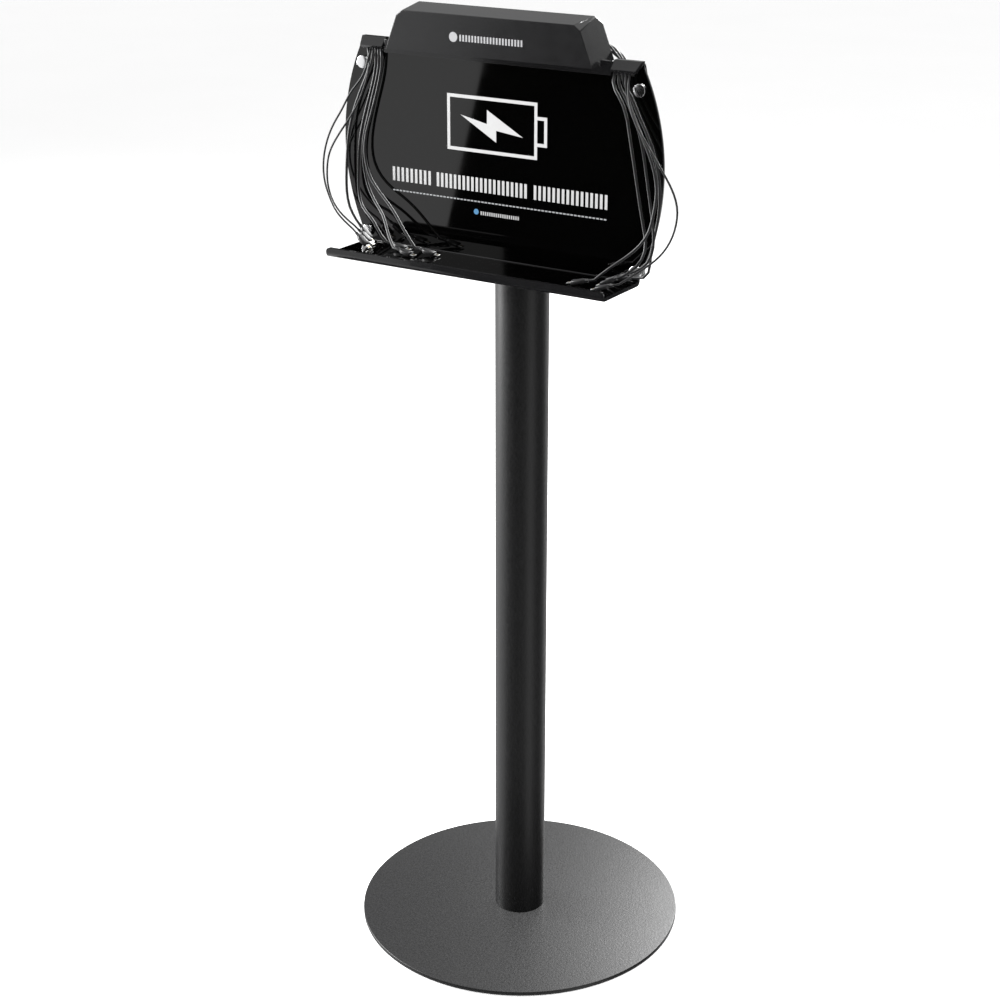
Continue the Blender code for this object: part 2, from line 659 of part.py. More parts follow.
def make_grommet(finishes):
    """The rubber grommet at the back of the pole's foot, where the mains cord leaves."""
    neck = GROMMET_RADIUS - GAP
    flange = GROMMET_RADIUS + 2.5 * MM
    hole = GROMMET_RADIUS / 2
    outside = POLE_RADIUS + GAP
    inside = BORE_RADIUS - 3 * MM
    profile = [
        (hole, outside + GROMMET_FLANGE),
        (flange - 0.8 * MM, outside + GROMMET_FLANGE),
        (flange, outside + GROMMET_FLANGE - 0.8 * MM),
        (flange, outside),
        (neck, outside),
        (neck, inside),
        (hole, inside),
    ]
    place = Matrix.Translation((0, 0, GROMMET_HEIGHT)) @ Matrix.Rotation(-math.pi / 2, 4, "X")
    turned("cord_grommet", profile, finishes["rubber"], place, sides=24, closed=True)


# Pole mount


def make_mount(finishes):
    """Two saddles between the back plate and the pole, each with its bolt and cap nut."""
    front = PLATE_BACK_Y + GAP
    half_width = SADDLE_WIDTH / 2
    half_height = SADDLE_HEIGHT / 2
    for name, z in SADDLE_Z.items():
        low = (-half_width, front, z - half_height)
        high = (half_width, -POLE_RADIUS / 2, z + half_height)
        saddle = box(f"saddle_{name}", low, high, finishes["satin_black"])
        reach = half_height + 5 * MM
        bottom = (0, 0, z - reach)
        top = (0, 0, z + reach)
        seat = rod(f"cut_seat_{name}", POLE_RADIUS + GAP, bottom, top, sides=POLE_SEGMENTS)
        radius = MOUNT_BOLT_RADIUS + HOLE_PLAY
        hole = rod(f"cut_saddle_{name}", radius, (0, front - 5 * MM, z), (0, 0, z), sides=16)
        combine(saddle, [seat, hole])
        make_mount_bolt(name, z, finishes["zinc"])
        make_mount_nut(name, z, finishes["zinc"])


def make_mount_bolt(name, z, finish):
    """A button-head bolt from the front of the back plate, through saddle and pole."""
    seat = PLATE_FRONT_Y - GAP
    face = seat - MOUNT_HEAD_HEIGHT
    end = POLE_RADIUS + MOUNT_NUT_HEIGHT - 3 * MM
    head = MOUNT_HEAD_RADIUS
    profile = [
        (0, -face),
        (head - 2.5 * MM, -face),
        (head - 0.6 * MM, -face - 1.6 * MM),
        (head, -seat + 1 * MM),
        (head, -seat),
        (MOUNT_BOLT_RADIUS, -seat),
        (MOUNT_BOLT_RADIUS, -end + 1 * MM),
        (MOUNT_BOLT_RADIUS - 1 * MM, -end),
        (0, -end),
    ]
    place = Matrix.Translation((0, 0, z)) @ Matrix.Rotation(math.pi / 2, 4, "X")
    turned(f"mount_bolt_{name}", profile, finish, place, sides=20)


def make_mount_nut(name, z, finish):
    """A hexagonal cap nut behind the pole."""
    radius = MOUNT_NUT_FLATS / 2 / math.cos(math.pi / 6)
    start = POLE_RADIUS + GAP
    end = start + MOUNT_NUT_HEIGHT
    nut = rod(f"mount_nut_{name}", radius, (0, start, z), (0, end, z), finish, sides=6)
    inner = MOUNT_BOLT_RADIUS + HOLE_PLAY
    hole = rod(f"cut_nut_{name}", inner, (0, start - 5 * MM, z), (0, end - 2 * MM, z), sides=16)
    combine(nut, [hole])
    bevel(nut, 0.8 * MM, angle=55)


# Panel and back plate


def bow(z):
    """Half the panel's width at a height: an arc that never gets narrower than the shelf."""
    rise = min(abs(z - SHELF_TOP_Z - BOW_HEIGHT), BOW_RADIUS)
    sag = BOW_RADIUS - math.sqrt(BOW_RADIUS**2 - rise**2)
    return SHELF_HALF_WIDTH + max(0.0, BOW_BULGE - sag)


def sheet_profile():
    """(y, z, half width) down the sheet's outer side: panel back, shelf underside and lip front."""
    outer = BEND_RADIUS + SHEET
    knee = (PANEL_BACK_Y - outer, SHELF_BOTTOM_Z + outer)
    toe = (LIP_FRONT_Y + outer, SHELF_BOTTOM_Z + outer)
    rows = []
    for i in range(BOW_STEPS + 1):
        z = PANEL_TOP_Z + (knee[1] - PANEL_TOP_Z) * i / BOW_STEPS
        rows.append((PANEL_BACK_Y, z, bow(z)))
    for y, z in arc(knee, outer, 0, -90, BEND_STEPS)[1:]:
        rows.append((y, z, SHELF_HALF_WIDTH))
    for y, z in arc(toe, outer, -90, -180, BEND_STEPS):
        rows.append((y, z, SHELF_HALF_WIDTH))
    for x, z in arc((SHELF_HALF_WIDTH - LIP_CORNER, LIP_TOP_Z - LIP_CORNER), LIP_CORNER, 0, 90, 5):
        if z > rows[-1][1] + 0.1 * MM:
            rows.append((LIP_FRONT_Y, z, x))
    return rows


def make_panel(finishes):
    """The acrylic sheet: bowed panel, shelf and lip, with stud holes and two lead notches."""
    bm = bmesh.new()
    last = None
    for y, z, half in sheet_profile():
        row = [bm.verts.new((x, y, z)) for x in (-half, 0.0, half)]
        if last is not None:
            for i in range(2):
                bm.faces.new((last[i], last[i + 1], row[i + 1], row[i]))
        last = row
    panel = object_from("front_panel", bm, finishes["acrylic"])
    solid = panel.modifiers.new("sheet", "SOLIDIFY")
    solid.thickness = SHEET
    solid.use_even_offset = True
    solid.offset = panel_side(panel)
    cutters = [crest_cutter("cut_panel_crest", PANEL_FRONT_Y, PANEL_BACK_Y)]
    for side, sign in (("left", -1), ("right", 1)):
        cutters.append(notch(f"cut_panel_notch_{side}", sign, PANEL_FRONT_Y, PANEL_BACK_Y))
        for level, z in STUD_Z.items():
            name = f"cut_panel_stud_{level}_{side}"
            start = (sign * STUD_X, PANEL_FRONT_Y - SHEET, z)
            end = (sign * STUD_X, PANEL_BACK_Y + SHEET, z)
            cutters.append(rod(name, STUD_RADIUS + HOLE_PLAY, start, end, sides=16))
    combine(panel, cutters)


def panel_side(panel):
    """The Solidify offset that grows the sheet towards the front, from the way its first face points."""
    return -1.0 if panel.data.polygons[0].normal.y > 0 else 1.0


def crest_cutter(name, front_y, back_y):
    """A cutter that lowers a sheet's top between the exit guards."""
    low = (-GUARD_INNER_X, front_y - 5 * MM, PANEL_CREST_Z)
    high = (GUARD_INNER_X, back_y + 5 * MM, PANEL_TOP_Z + 10 * MM)
    return box(name, low, high)


def notch(name, sign, front_y, back_y):
    """A cutter for the slot that the leads pass through, open at the top."""
    low = (min(sign * NOTCH_INNER_X, sign * NOTCH_OUTER_X), front_y - 5 * MM, NOTCH_FLOOR_Z)
    high = (max(sign * NOTCH_INNER_X, sign * NOTCH_OUTER_X), back_y + 5 * MM, PANEL_TOP_Z + 10 * MM)
    return box(name, low, high)


def make_back_plate(finishes):
    """The steel plate behind the panel, a little smaller than it, which carries everything."""
    bottom = STUD_Z["lower"] - PLATE_FOOT
    edge = []
    for i in range(BOW_STEPS + 1):
        z = bottom + (PANEL_TOP_Z - bottom) * i / BOW_STEPS
        least = STUD_X + PLATE_INSET if z < STUD_Z["lower"] + PLATE_FOOT else 0.0
        edge.append((max(bow(z) - PLATE_INSET, least), z))
    outline = edge + [(-x, z) for x, z in reversed(edge)]
    plate = outline_plate("back_plate", outline, PLATE_BACK_Y, PLATE_THICKNESS, finishes["satin_black"])
    cutters = [crest_cutter("cut_plate_crest", PLATE_FRONT_Y, PLATE_BACK_Y)]
    for side, sign in (("left", -1), ("right", 1)):
        cutters.append(notch(f"cut_plate_notch_{side}", sign, PLATE_FRONT_Y, PLATE_BACK_Y))
        for level, z in STUD_Z.items():
            name = f"cut_plate_stud_{level}_{side}"
            start = (sign * STUD_X, PLATE_FRONT_Y - 2 * MM, z)
            end = (sign * STUD_X, PLATE_BACK_Y + 2 * MM, z)
            cutters.append(rod(name, STUD_RADIUS + HOLE_PLAY, start, end, sides=16))
    for name, z in SADDLE_Z.items():
        radius = MOUNT_BOLT_RADIUS + HOLE_PLAY
        start = (0, PLATE_FRONT_Y - 2 * MM, z)
        end = (0, PLATE_BACK_Y + 2 * MM, z)
        cutters.append(rod(f"cut_plate_bolt_{name}", radius, start, end, sides=16))
    combine(plate, cutters)


def make_standoffs(finishes):
    """The chrome caps, whose studs hold the panel to the plate, and the two lower spacers."""
    seat = PANEL_FRONT_Y - GAP
    face = seat - CAP_HEIGHT
    end = PLATE_BACK_Y + 2.5 * MM
    profile = [
        (0, -face),
        (CAP_RADIUS - 0.8 * MM, -face),
        (CAP_RADIUS, -face - 0.8 * MM),
        (CAP_RADIUS, -seat),
        (STUD_RADIUS, -seat),
        (STUD_RADIUS, -end),
        (0, -end),
    ]
    bore = STUD_RADIUS + HOLE_PLAY
    near = -PANEL_BACK_Y - GAP
    far = near - SPACER
    ring = [(bore, near), (SPACER_RADIUS, near), (SPACER_RADIUS, far), (bore, far)]
    upright = Matrix.Rotation(math.pi / 2, 4, "X")
    for side, sign in (("left", -1), ("right", 1)):
        for level, z in STUD_Z.items():
            place = Matrix.Translation((sign * STUD_X, 0, z)) @ upright
            turned(f"standoff_cap_{level}_{side}", profile, finishes["chrome"], place, sides=24)
        place = Matrix.Translation((sign * STUD_X, 0, STUD_Z["lower"])) @ upright
        turned(f"spacer_{side}", ring, finishes["zinc"], place, sides=20, closed=True)


# Lead exits


def make_guard(side, sign, finish):
    """The bent acrylic guard over a lead exit: a top flange, a sloping flap and a leg behind the panel."""
    rear = PLATE_FRONT_Y - GAP
    slope = GUARD_FLAP / math.sqrt(2)
    rows = [
        (GUARD_REAR_Y, GUARD_TOP_Z, GUARD_OUTER_X),
        (GUARD_BEND_Y, GUARD_TOP_Z, GUARD_OUTER_X),
        (GUARD_BEND_Y - slope, GUARD_TOP_Z - slope, GUARD_OUTER_X - GUARD_TAPER),
    ]
    bm = bmesh.new()
    last = None
    for y, z, outer in rows:
        row = [bm.verts.new((sign * x, y, z)) for x in (GUARD_INNER_X, outer)]
        if last is not None:
            bm.faces.new((last[0], last[1], row[1], row[0]))
        last = row
    guard = object_from(f"exit_guard_{side}", bm, finish, smooth=False)
    solid = guard.modifiers.new("sheet", "SOLIDIFY")
    solid.thickness = SHEET
    solid.use_even_offset = True
    solid.offset = -1.0 if guard.data.polygons[0].normal.z > 0 else 1.0
    stud_z = STUD_Z["upper"]
    foot = stud_z - GUARD_LEG_DROP
    leg_outer = STUD_X + GUARD_LEG_WIDTH / 2
    leg_inner = STUD_X - GUARD_LEG_WIDTH / 2
    neck = GUARD_OUTER_X - GUARD_WELD
    leg_outline = [
        (sign * leg_inner, foot),
        (sign * leg_outer, foot),
        (sign * leg_outer, stud_z + CAP_RADIUS),
        (sign * neck, GUARD_TOP_Z - SHEET),
        (sign * neck, GUARD_TOP_Z - 0.7 * SHEET),
        (sign * leg_inner, GUARD_TOP_Z - 0.7 * SHEET),
    ]
    leg = outline_plate(f"add_leg_{side}", leg_outline, rear - GUARD_WELD, SPACER - GUARD_WELD)
    combine(guard, [leg], "UNION")
    start = (sign * STUD_X, rear - 2 * SPACER, stud_z)
    end = (sign * STUD_X, rear + SPACER, stud_z)
    combine(guard, [rod(f"cut_guard_{side}", STUD_RADIUS + HOLE_PLAY, start, end, sides=16)])


def make_bushing(side, sign, finish):
    """The rubber block in the notch, which the leads come out of."""
    near = sign * (NOTCH_INNER_X + GAP)
    far = sign * (NOTCH_OUTER_X - GAP)
    low = (min(near, far), BUSHING_FRONT_Y, BUSHING_BOTTOM_Z)
    high = (max(near, far), PLATE_BACK_Y + BUSHING_PROUD, BUSHING_BOTTOM_Z + BUSHING_HEIGHT)
    bushing = box(f"exit_bushing_{side}", low, high, finish)
    bevel(bushing, BUSHING_CHAMFER)


def make_sleeve(side, sign, finish):
    """The sleeve that carries the leads from the charger, out behind the hood and down to the bushing."""
    start = (CHARGER_HALF_LENGTH + GAP, SLEEVE_ROUTE[0][1] * MM, SLEEVE_ROUTE[0][2] * MM)
    middle = (NOTCH_INNER_X + NOTCH_OUTER_X) / 2
    end = (middle, PLATE_BACK_Y + BUSHING_PROUD + GAP, BUSHING_BOTTOM_Z + BUSHING_HEIGHT / 2)
    route = [tuple(value * MM for value in point) for point in SLEEVE_ROUTE]
    points = np.array([start, *smooth_route(route, SLEEVE_DIAMETER * 0.8), end])
    points[:, 0] *= sign
    tube(f"lead_sleeve_{side}", points, SLEEVE_DIAMETER, finish)


# Hood


def cut_by(bm, point, normal):
    """Cuts a closed mesh by a plane, drops what is on the normal's side and closes the cut."""
    everything = list(bm.verts) + list(bm.edges) + list(bm.faces)
    cut = bmesh.ops.bisect_plane(bm, geom=everything, plane_co=point, plane_no=normal, clear_outer=True)
    edges = [item for item in cut["geom_cut"] if isinstance(item, bmesh.types.BMEdge)]
    bmesh.ops.contextual_create(bm, geom=edges)


def plane_through(a, b, c, outside):
    """(point, normal) of the plane through three points, its normal towards the outside point."""
    a = Vector(a)
    normal = (Vector(b) - a).cross(Vector(c) - a).normalized()
    if normal.dot(Vector(outside) - a) < 0:
        normal.negate()
    return a, normal


def hood_solid(name, inset, finish=None):
    """A closed block in the hood's outline, moved in by the inset on every side but the bottom."""
    below = HOOD_BOTTOM_Z - 10 * MM
    low = Vector((-HOOD_BOTTOM_X - 10 * MM, HOOD_FRONT_Y + inset, below))
    high = Vector((HOOD_BOTTOM_X + 10 * MM, HOOD_REAR_Y - inset, HOOD_CREST_Z))
    bm = bmesh.new()
    bmesh.ops.create_cube(bm, size=1.0)
    bmesh.ops.scale(bm, vec=high - low, verts=bm.verts)
    bmesh.ops.translate(bm, vec=(low + high) / 2, verts=bm.verts)
    above = (0, HOOD_FRONT_Y, 2 * HOOD_CREST_Z)
    brow = (0, HOOD_FRONT_Y, HOOD_BROW_Z)
    crest = (0, HOOD_CREST_Y, HOOD_CREST_Z)
    rear = (0, HOOD_REAR_Y, HOOD_REAR_Z)
    planes = [
        plane_through(brow, crest, (1, HOOD_FRONT_Y, HOOD_BROW_Z), above),
        plane_through(crest, rear, (1, HOOD_REAR_Y, HOOD_REAR_Z), above),
    ]
    for sign in (-1, 1):
        aside = (sign, HOOD_FRONT_Y, 2 * HOOD_CREST_Z)
        foot = (sign * HOOD_BOTTOM_X, HOOD_FRONT_Y, HOOD_BOTTOM_Z)
        shoulder = (sign * HOOD_SHOULDER_X, HOOD_FRONT_Y, HOOD_SHOULDER_Z)
        corner = (sign * HOOD_BROW_X, HOOD_FRONT_Y, HOOD_BROW_Z)
        peak = (sign * HOOD_CREST_X, HOOD_CREST_Y, HOOD_CREST_Z)
        planes.append(plane_through(foot, shoulder, (foot[0], HOOD_REAR_Y, HOOD_BOTTOM_Z), aside))
        planes.append(plane_through(shoulder, corner, peak, aside))
    for point, normal in planes:
        cut_by(bm, point - normal * inset, normal)
    return object_from(name, bm, finish, smooth=False)


def hood_end_x(z):
    """Half the hood's length at a height below its shoulders."""
    share = (z - HOOD_BOTTOM_Z) / (HOOD_SHOULDER_Z - HOOD_BOTTOM_Z)
    return HOOD_BOTTOM_X + (HOOD_SHOULDER_X - HOOD_BOTTOM_X) * share


def make_hood(finishes):
    """The folded cover: sloping ends, cut shoulders, a rising top and a lap down the rear."""
    hood = hood_solid("hood_cover", 0.0, finishes["satin_black"])
    bevel(hood, HOOD_EDGE, segments=2, angle=8)
    hollow = hood_solid("cut_hood_hollow", HOOD_WALL)
    foot_low = (-HOOD_BOTTOM_X - 20 * MM, HOOD_FRONT_Y - 20 * MM, HOOD_BOTTOM_Z - 20 * MM)
    foot_high = (HOOD_BOTTOM_X + 20 * MM, HOOD_REAR_Y + 20 * MM, HOOD_BOTTOM_Z)
    foot = box("cut_hood_foot", foot_low, foot_high)
    lap = HOOD_LAP_Z
    low = HOOD_BOTTOM_Z - 5 * MM
    margin = 1.5 * HOOD_WALL
    window = [
        (hood_end_x(low) - margin, low),
        (hood_end_x(lap) - margin, lap),
        (margin - hood_end_x(lap), lap),
        (margin - hood_end_x(low), low),
    ]
    behind = 5 * MM
    opening = outline_plate("cut_hood_window", window, HOOD_REAR_Y + behind, behind + 2 * HOOD_WALL)
    cutters = [hollow, foot, opening]
    z = HOOD_SCREW_Z
    for side, sign in (("left", -1), ("right", 1)):
        start = (sign * HOOD_SCREW_X, HOOD_REAR_Y - 5 * MM, z)
        end = (sign * HOOD_SCREW_X, HOOD_REAR_Y + 5 * MM, z)
        cutters.append(rod(f"cut_hood_{side}", HOOD_SCREW_RADIUS + HOLE_PLAY, start, end, sides=12))
    combine(hood, cutters)


def make_hood_screws(finishes):
    """The two screws that hold the hood's rear lap to the tray."""
    seat = HOOD_REAR_Y + GAP
    z = HOOD_SCREW_Z
    end = seat - HOOD_SCREW_LENGTH
    head = HOOD_SCREW_HEAD_RADIUS
    profile = [
        (0, seat + HOOD_SCREW_HEAD),
        (head * 0.6, seat + HOOD_SCREW_HEAD),
        (head, seat + HOOD_SCREW_HEAD * 0.4),
        (head, seat),
        (HOOD_SCREW_RADIUS, seat),
        (HOOD_SCREW_RADIUS, end),
        (0, end),
    ]
    turn = Matrix.Rotation(-math.pi / 2, 4, "X")
    for side, sign in (("left", -1), ("right", 1)):
        place = Matrix.Translation((sign * HOOD_SCREW_X, 0, z)) @ turn
        turned(f"hood_screw_{side}", profile, finishes["zinc"], place, sides=16)


def make_hood_bar(finishes):
    """The bar on the panel's front that the hood stands on, slotted for the hood's two ends."""
    seat = HOOD_BOTTOM_Z - GAP
    slot_outer = HOOD_BOTTOM_X + GAP
    top = HOOD_BOTTOM_Z + BAR_ABOVE
    bottom = HOOD_BOTTOM_Z - BAR_BELOW
    slot_inner = slot_outer - BAR_SLOT
    half = [
        (slot_inner, TRAY_BOTTOM_Z - GAP),
        (slot_inner, seat),
        (slot_outer, seat),
        (slot_outer, top),
        (BAR_HALF_LENGTH, top),
        (BAR_HALF_LENGTH, bottom),
    ]
    outline = half + [(-x, z) for x, z in reversed(half)]
    outline_plate("hood_bar", outline, PANEL_FRONT_Y - GAP, BAR_THICKNESS, finishes["acrylic"])


def make_tray(finishes):
    """The folded tray in the hood: floor, rear wall with the inlet's window, and a leg down to the plate."""
    front = HOOD_FRONT_Y + HOOD_WALL + GAP
    inner = TRAY_WALL_Y - TRAY_SHEET
    floor_low = (-TRAY_HALF_LENGTH, front, TRAY_BOTTOM_Z)
    floor_high = (TRAY_HALF_LENGTH, TRAY_WALL_Y, TRAY_FLOOR_Z)
    tray = box("hood_tray", floor_low, floor_high, finishes["satin_black"])
    wall_top = HOOD_REAR_Z - TRAY_WALL_TOP
    wall_low = (-TRAY_WALL_HALF_LENGTH, inner, TRAY_FLOOR_Z - 0.5 * MM)
    wall_high = (TRAY_WALL_HALF_LENGTH, TRAY_WALL_Y - 0.01 * MM, wall_top)
    leg_front = PLATE_BACK_Y + GAP
    leg_low = (-TRAY_LEG_HALF_WIDTH, leg_front, TRAY_BOTTOM_Z - TRAY_LEG_DEPTH)
    leg_high = (TRAY_LEG_HALF_WIDTH, leg_front + TRAY_SHEET, TRAY_BOTTOM_Z + 0.5 * MM)
    combine(tray, [box("add_wall", wall_low, wall_high), box("add_leg", leg_low, leg_high)], "UNION")
    half = INLET_WIDTH / 2 - INLET_LIP + GAP
    rise = INLET_HEIGHT / 2 - INLET_LIP + GAP
    window_low = (INLET_X - half, inner - 5 * MM, INLET_Z - rise)
    window_high = (INLET_X + half, TRAY_WALL_Y + 5 * MM, INLET_Z + rise)
    cutters = [box("cut_window", window_low, window_high)]
    z = HOOD_SCREW_Z
    for side, sign in (("left", -1), ("right", 1)):
        start = (sign * HOOD_SCREW_X, inner - 5 * MM, z)
        end = (sign * HOOD_SCREW_X, TRAY_WALL_Y + 5 * MM, z)
        cutters.append(rod(f"cut_tray_{side}", HOOD_SCREW_RADIUS + HOLE_PLAY, start, end, sides=12))
    combine(tray, cutters)


def make_charger(finishes):
    """The charger that stands on the tray. Its leads are captive, and leave at both ends in a sleeve."""
    front = HOOD_FRONT_Y + HOOD_WALL + CHARGER_MARGIN
    bottom = TRAY_FLOOR_Z + GAP
    low = (-CHARGER_HALF_LENGTH, front, bottom)
    high = (CHARGER_HALF_LENGTH, front + CHARGER_DEPTH, CHARGER_TOP_Z)
    bevel(box("charger", low, high, finishes["plastic"]), CHARGER_EDGE, segments=2)


# Mains inlet


def make_inlet(finishes):
    """The inlet in the tray's window: a face, a body, the mains socket and the rocker's well."""
    face_back = TRAY_WALL_Y + GAP
    half = INLET_WIDTH / 2
    rise = INLET_HEIGHT / 2
    low = (INLET_X - half, face_back, INLET_Z - rise)
    high = (INLET_X + half, face_back + INLET_FACE, INLET_Z + rise)
    inlet = box("mains_inlet", low, high, finishes["plastic"])
    body_half = half - INLET_LIP
    body_rise = rise - INLET_LIP
    body_low = (INLET_X - body_half, face_back - INLET_DEPTH, INLET_Z - body_rise)
    body_high = (INLET_X + body_half, face_back + INLET_FACE / 2, INLET_Z + body_rise)
    combine(inlet, [box("add_inlet_body", body_low, body_high)], "UNION")
    out = face_back + INLET_FACE + 5 * MM
    combine(inlet, [make_socket_cutter(face_back, out), make_well_cutter(out)])
    for i in (-1, 0, 1):
        x = INLET_X - SOCKET_OFFSET + i * PIN_PITCH
        z = INLET_Z + (PIN_STAGGER if i == 0 else -PIN_STAGGER)
        root = face_back + INLET_FACE - SOCKET_DEPTH - 1 * MM
        pin_low = (x - PIN_WIDTH / 2, root, z - PIN_HEIGHT / 2)
        pin_high = (x + PIN_WIDTH / 2, face_back + INLET_FACE - PIN_SHORT, z + PIN_HEIGHT / 2)
        combine(inlet, [box(f"add_pin_{i}", pin_low, pin_high)], "UNION")


def make_socket_cutter(face_back, out):
    """The hollow of the mains socket, with its two cut corners."""
    half = SOCKET_WIDTH / 2
    rise = SOCKET_HEIGHT / 2
    x = INLET_X - SOCKET_OFFSET
    outline = [
        (x - half, INLET_Z - rise),
        (x + half, INLET_Z - rise),
        (x + half, INLET_Z + rise - SOCKET_CORNER),
        (x + half - SOCKET_CORNER, INLET_Z + rise),
        (x - half + SOCKET_CORNER, INLET_Z + rise),
        (x - half, INLET_Z + rise - SOCKET_CORNER),
    ]
    floor = face_back + INLET_FACE - SOCKET_DEPTH
    return outline_plate("cut_socket", outline, out, out - floor)


def make_well_cutter(out):
    """The hollow that the rocker turns in."""
    half = ROCKER_WIDTH / 2 + GAP
    rise = ROCKER_HEIGHT / 2 + ROCKER_PLAY
    floor = ROCKER_PIVOT.y - ROCKER_DEPTH / 2 - WELL_FLOOR
    low = (ROCKER_PIVOT.x - half, floor, INLET_Z - rise)
    high = (ROCKER_PIVOT.x + half, out, INLET_Z + rise)
    return box("cut_well", low, high)


def make_rocker(finishes):
    """The mains rocker, pressed in at the top, which turns about X."""
    rise = ROCKER_HEIGHT / 2
    front = ROCKER_DEPTH / 2 + ROCKER_PROUD
    back = ROCKER_DEPTH / 2
    root = rise * 0.7
    outline = [(-back, -root), (front, -rise), (front - ROCKER_DISH, 0), (front, rise), (-back, root)]
    half = ROCKER_WIDTH / 2
    bm = bmesh.new()
    ring = [bm.verts.new((-half, y, z)) for y, z in outline]
    face = bm.faces.new(ring)
    grown = bmesh.ops.extrude_face_region(bm, geom=[face])
    moved = [item for item in grown["geom"] if isinstance(item, bmesh.types.BMVert)]
    bmesh.ops.translate(bm, vec=(ROCKER_WIDTH, 0, 0), verts=moved)
    rocker = object_from("power_rocker", bm, finishes["plastic"], smooth=False)
    rocker.matrix_world = Matrix.Translation(ROCKER_PIVOT) @ Matrix.Rotation(-ROCKER_TILT, 4, "X")
    bevel(rocker, 0.5 * MM, segments=2)


# Leads


def connector_pose(tail_x, tail_y, heading, dip):
    """(tail, direction) of a connector whose tongue or body just clears the shelf."""
    turn = math.radians(heading)
    drop = math.radians(dip)
    body = (RELIEF_LENGTH + BODY_LENGTH) * math.sin(drop) + BODY_HEIGHT / 2 * math.cos(drop)
    tongue = (RELIEF_LENGTH + BODY_LENGTH + TONGUE_LENGTH) * math.sin(drop)
    tongue += TONGUE_HEIGHT / 2 * math.cos(drop)
    tail = Vector((tail_x * MM, tail_y * MM, SHELF_TOP_Z + GAP + max(body, tongue)))
    level = math.cos(drop)
    direction = Vector((math.cos(turn) * level, math.sin(turn) * level, -math.sin(drop)))
    return tail, direction


def make_connector(name, diameter, tail, direction, finish):
    """A phone connector: strain relief, body and tongue, along its own +X from the tail."""
    relief_radius = diameter / 2 + RELIEF_WALL
    body_start = RELIEF_LENGTH
    body_end = body_start + BODY_LENGTH
    low = (body_start, -BODY_WIDTH / 2, -BODY_HEIGHT / 2)
    high = (body_end, BODY_WIDTH / 2, BODY_HEIGHT / 2)
    connector = box(f"connector_{name}", low, high, finish)
    bevel(connector, BODY_EDGE, segments=2)
    relief = rod(f"add_relief_{name}", relief_radius, (0, 0, 0), (body_start + 1 * MM, 0, 0), sides=12)
    tongue_low = (body_end - 1 * MM, -TONGUE_WIDTH / 2, -TONGUE_HEIGHT / 2)
    tongue_high = (body_end + TONGUE_LENGTH, TONGUE_WIDTH / 2, TONGUE_HEIGHT / 2)
    tongue = box(f"add_tongue_{name}", tongue_low, tongue_high)
    flat = Vector((direction.x, direction.y, 0)).normalized()
    across = Vector((-flat.y, flat.x, 0))
    up = direction.cross(across)
    place = Matrix((direction, across, up)).transposed().to_4x4()
    place.translation = tail
    for obj in (connector, relief, tongue):
        obj.matrix_world = place
    combine(connector, [relief, tongue], "UNION")


def make_lead(name, diameter, exit_x, route, pose, finishes):
    """One charging lead from its bushing to its connector, and the connector."""
    tail, direction = connector_pose(*pose)
    first = Vector((exit_x * MM, BUSHING_FRONT_Y - GAP, LEAD_EXIT_Z))
    second = first + Vector((0, -LEAD_NOSE, 0))
    last = tail - direction * GAP
    straight = last - direction * LEAD_STRAIGHT
    middle = [Vector(point) * MM for point in route]
    points = [first, *smooth_route([second, *middle, straight], diameter * LEAD_STEP), last]
    tube(f"lead_{name}", points, diameter, finishes["lead_jacket"])
    make_connector(name, diameter, tail, direction, finishes["plastic"])


def main():
    """Builds the whole kiosk."""
    clear_scene()
    finishes = make_materials()
    make_base(finishes)
    make_pads(finishes)
    make_base_bolt(finishes)
    make_foot_insert(finishes)
    make_pole(finishes)
    make_pole_cap(finishes)
    make_grommet(finishes)
    make_mount(finishes)
    make_panel(finishes)
    make_back_plate(finishes)
    make_standoffs(finishes)
    for side, sign in (("left", -1), ("right", 1)):
        make_guard(side, sign, finishes["acrylic"])
        make_bushing(side, sign, finishes["rubber"])
        make_sleeve(side, sign, finishes["rubber"])
    make_hood(finishes)
    make_hood_screws(finishes)
    make_hood_bar(finishes)
    make_tray(finishes)
    make_charger(finishes)
    make_inlet(finishes)
    make_rocker(finishes)
    for name, (diameter, exit_x, route, pose) in LEADS.items():
        make_lead(name, diameter, exit_x, route, pose, finishes)


main()
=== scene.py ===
"""Looks of the phone charging kiosk: finishes, detailed pieces, charging leads, floor, light and camera.

Metres, +Z up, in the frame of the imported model. The front faces -Y.
"""

import logging
import math
from dataclasses import dataclass, field
from enum import Enum
from typing import Any, Iterable, Optional, Sequence

import bmesh
import bpy
import numpy as np
from bmesh.types import BMesh, BMVert
from bpy.types import Material, Mesh, Node, NodeSocket, NodeTree, Object
from mathutils import Matrix, Vector

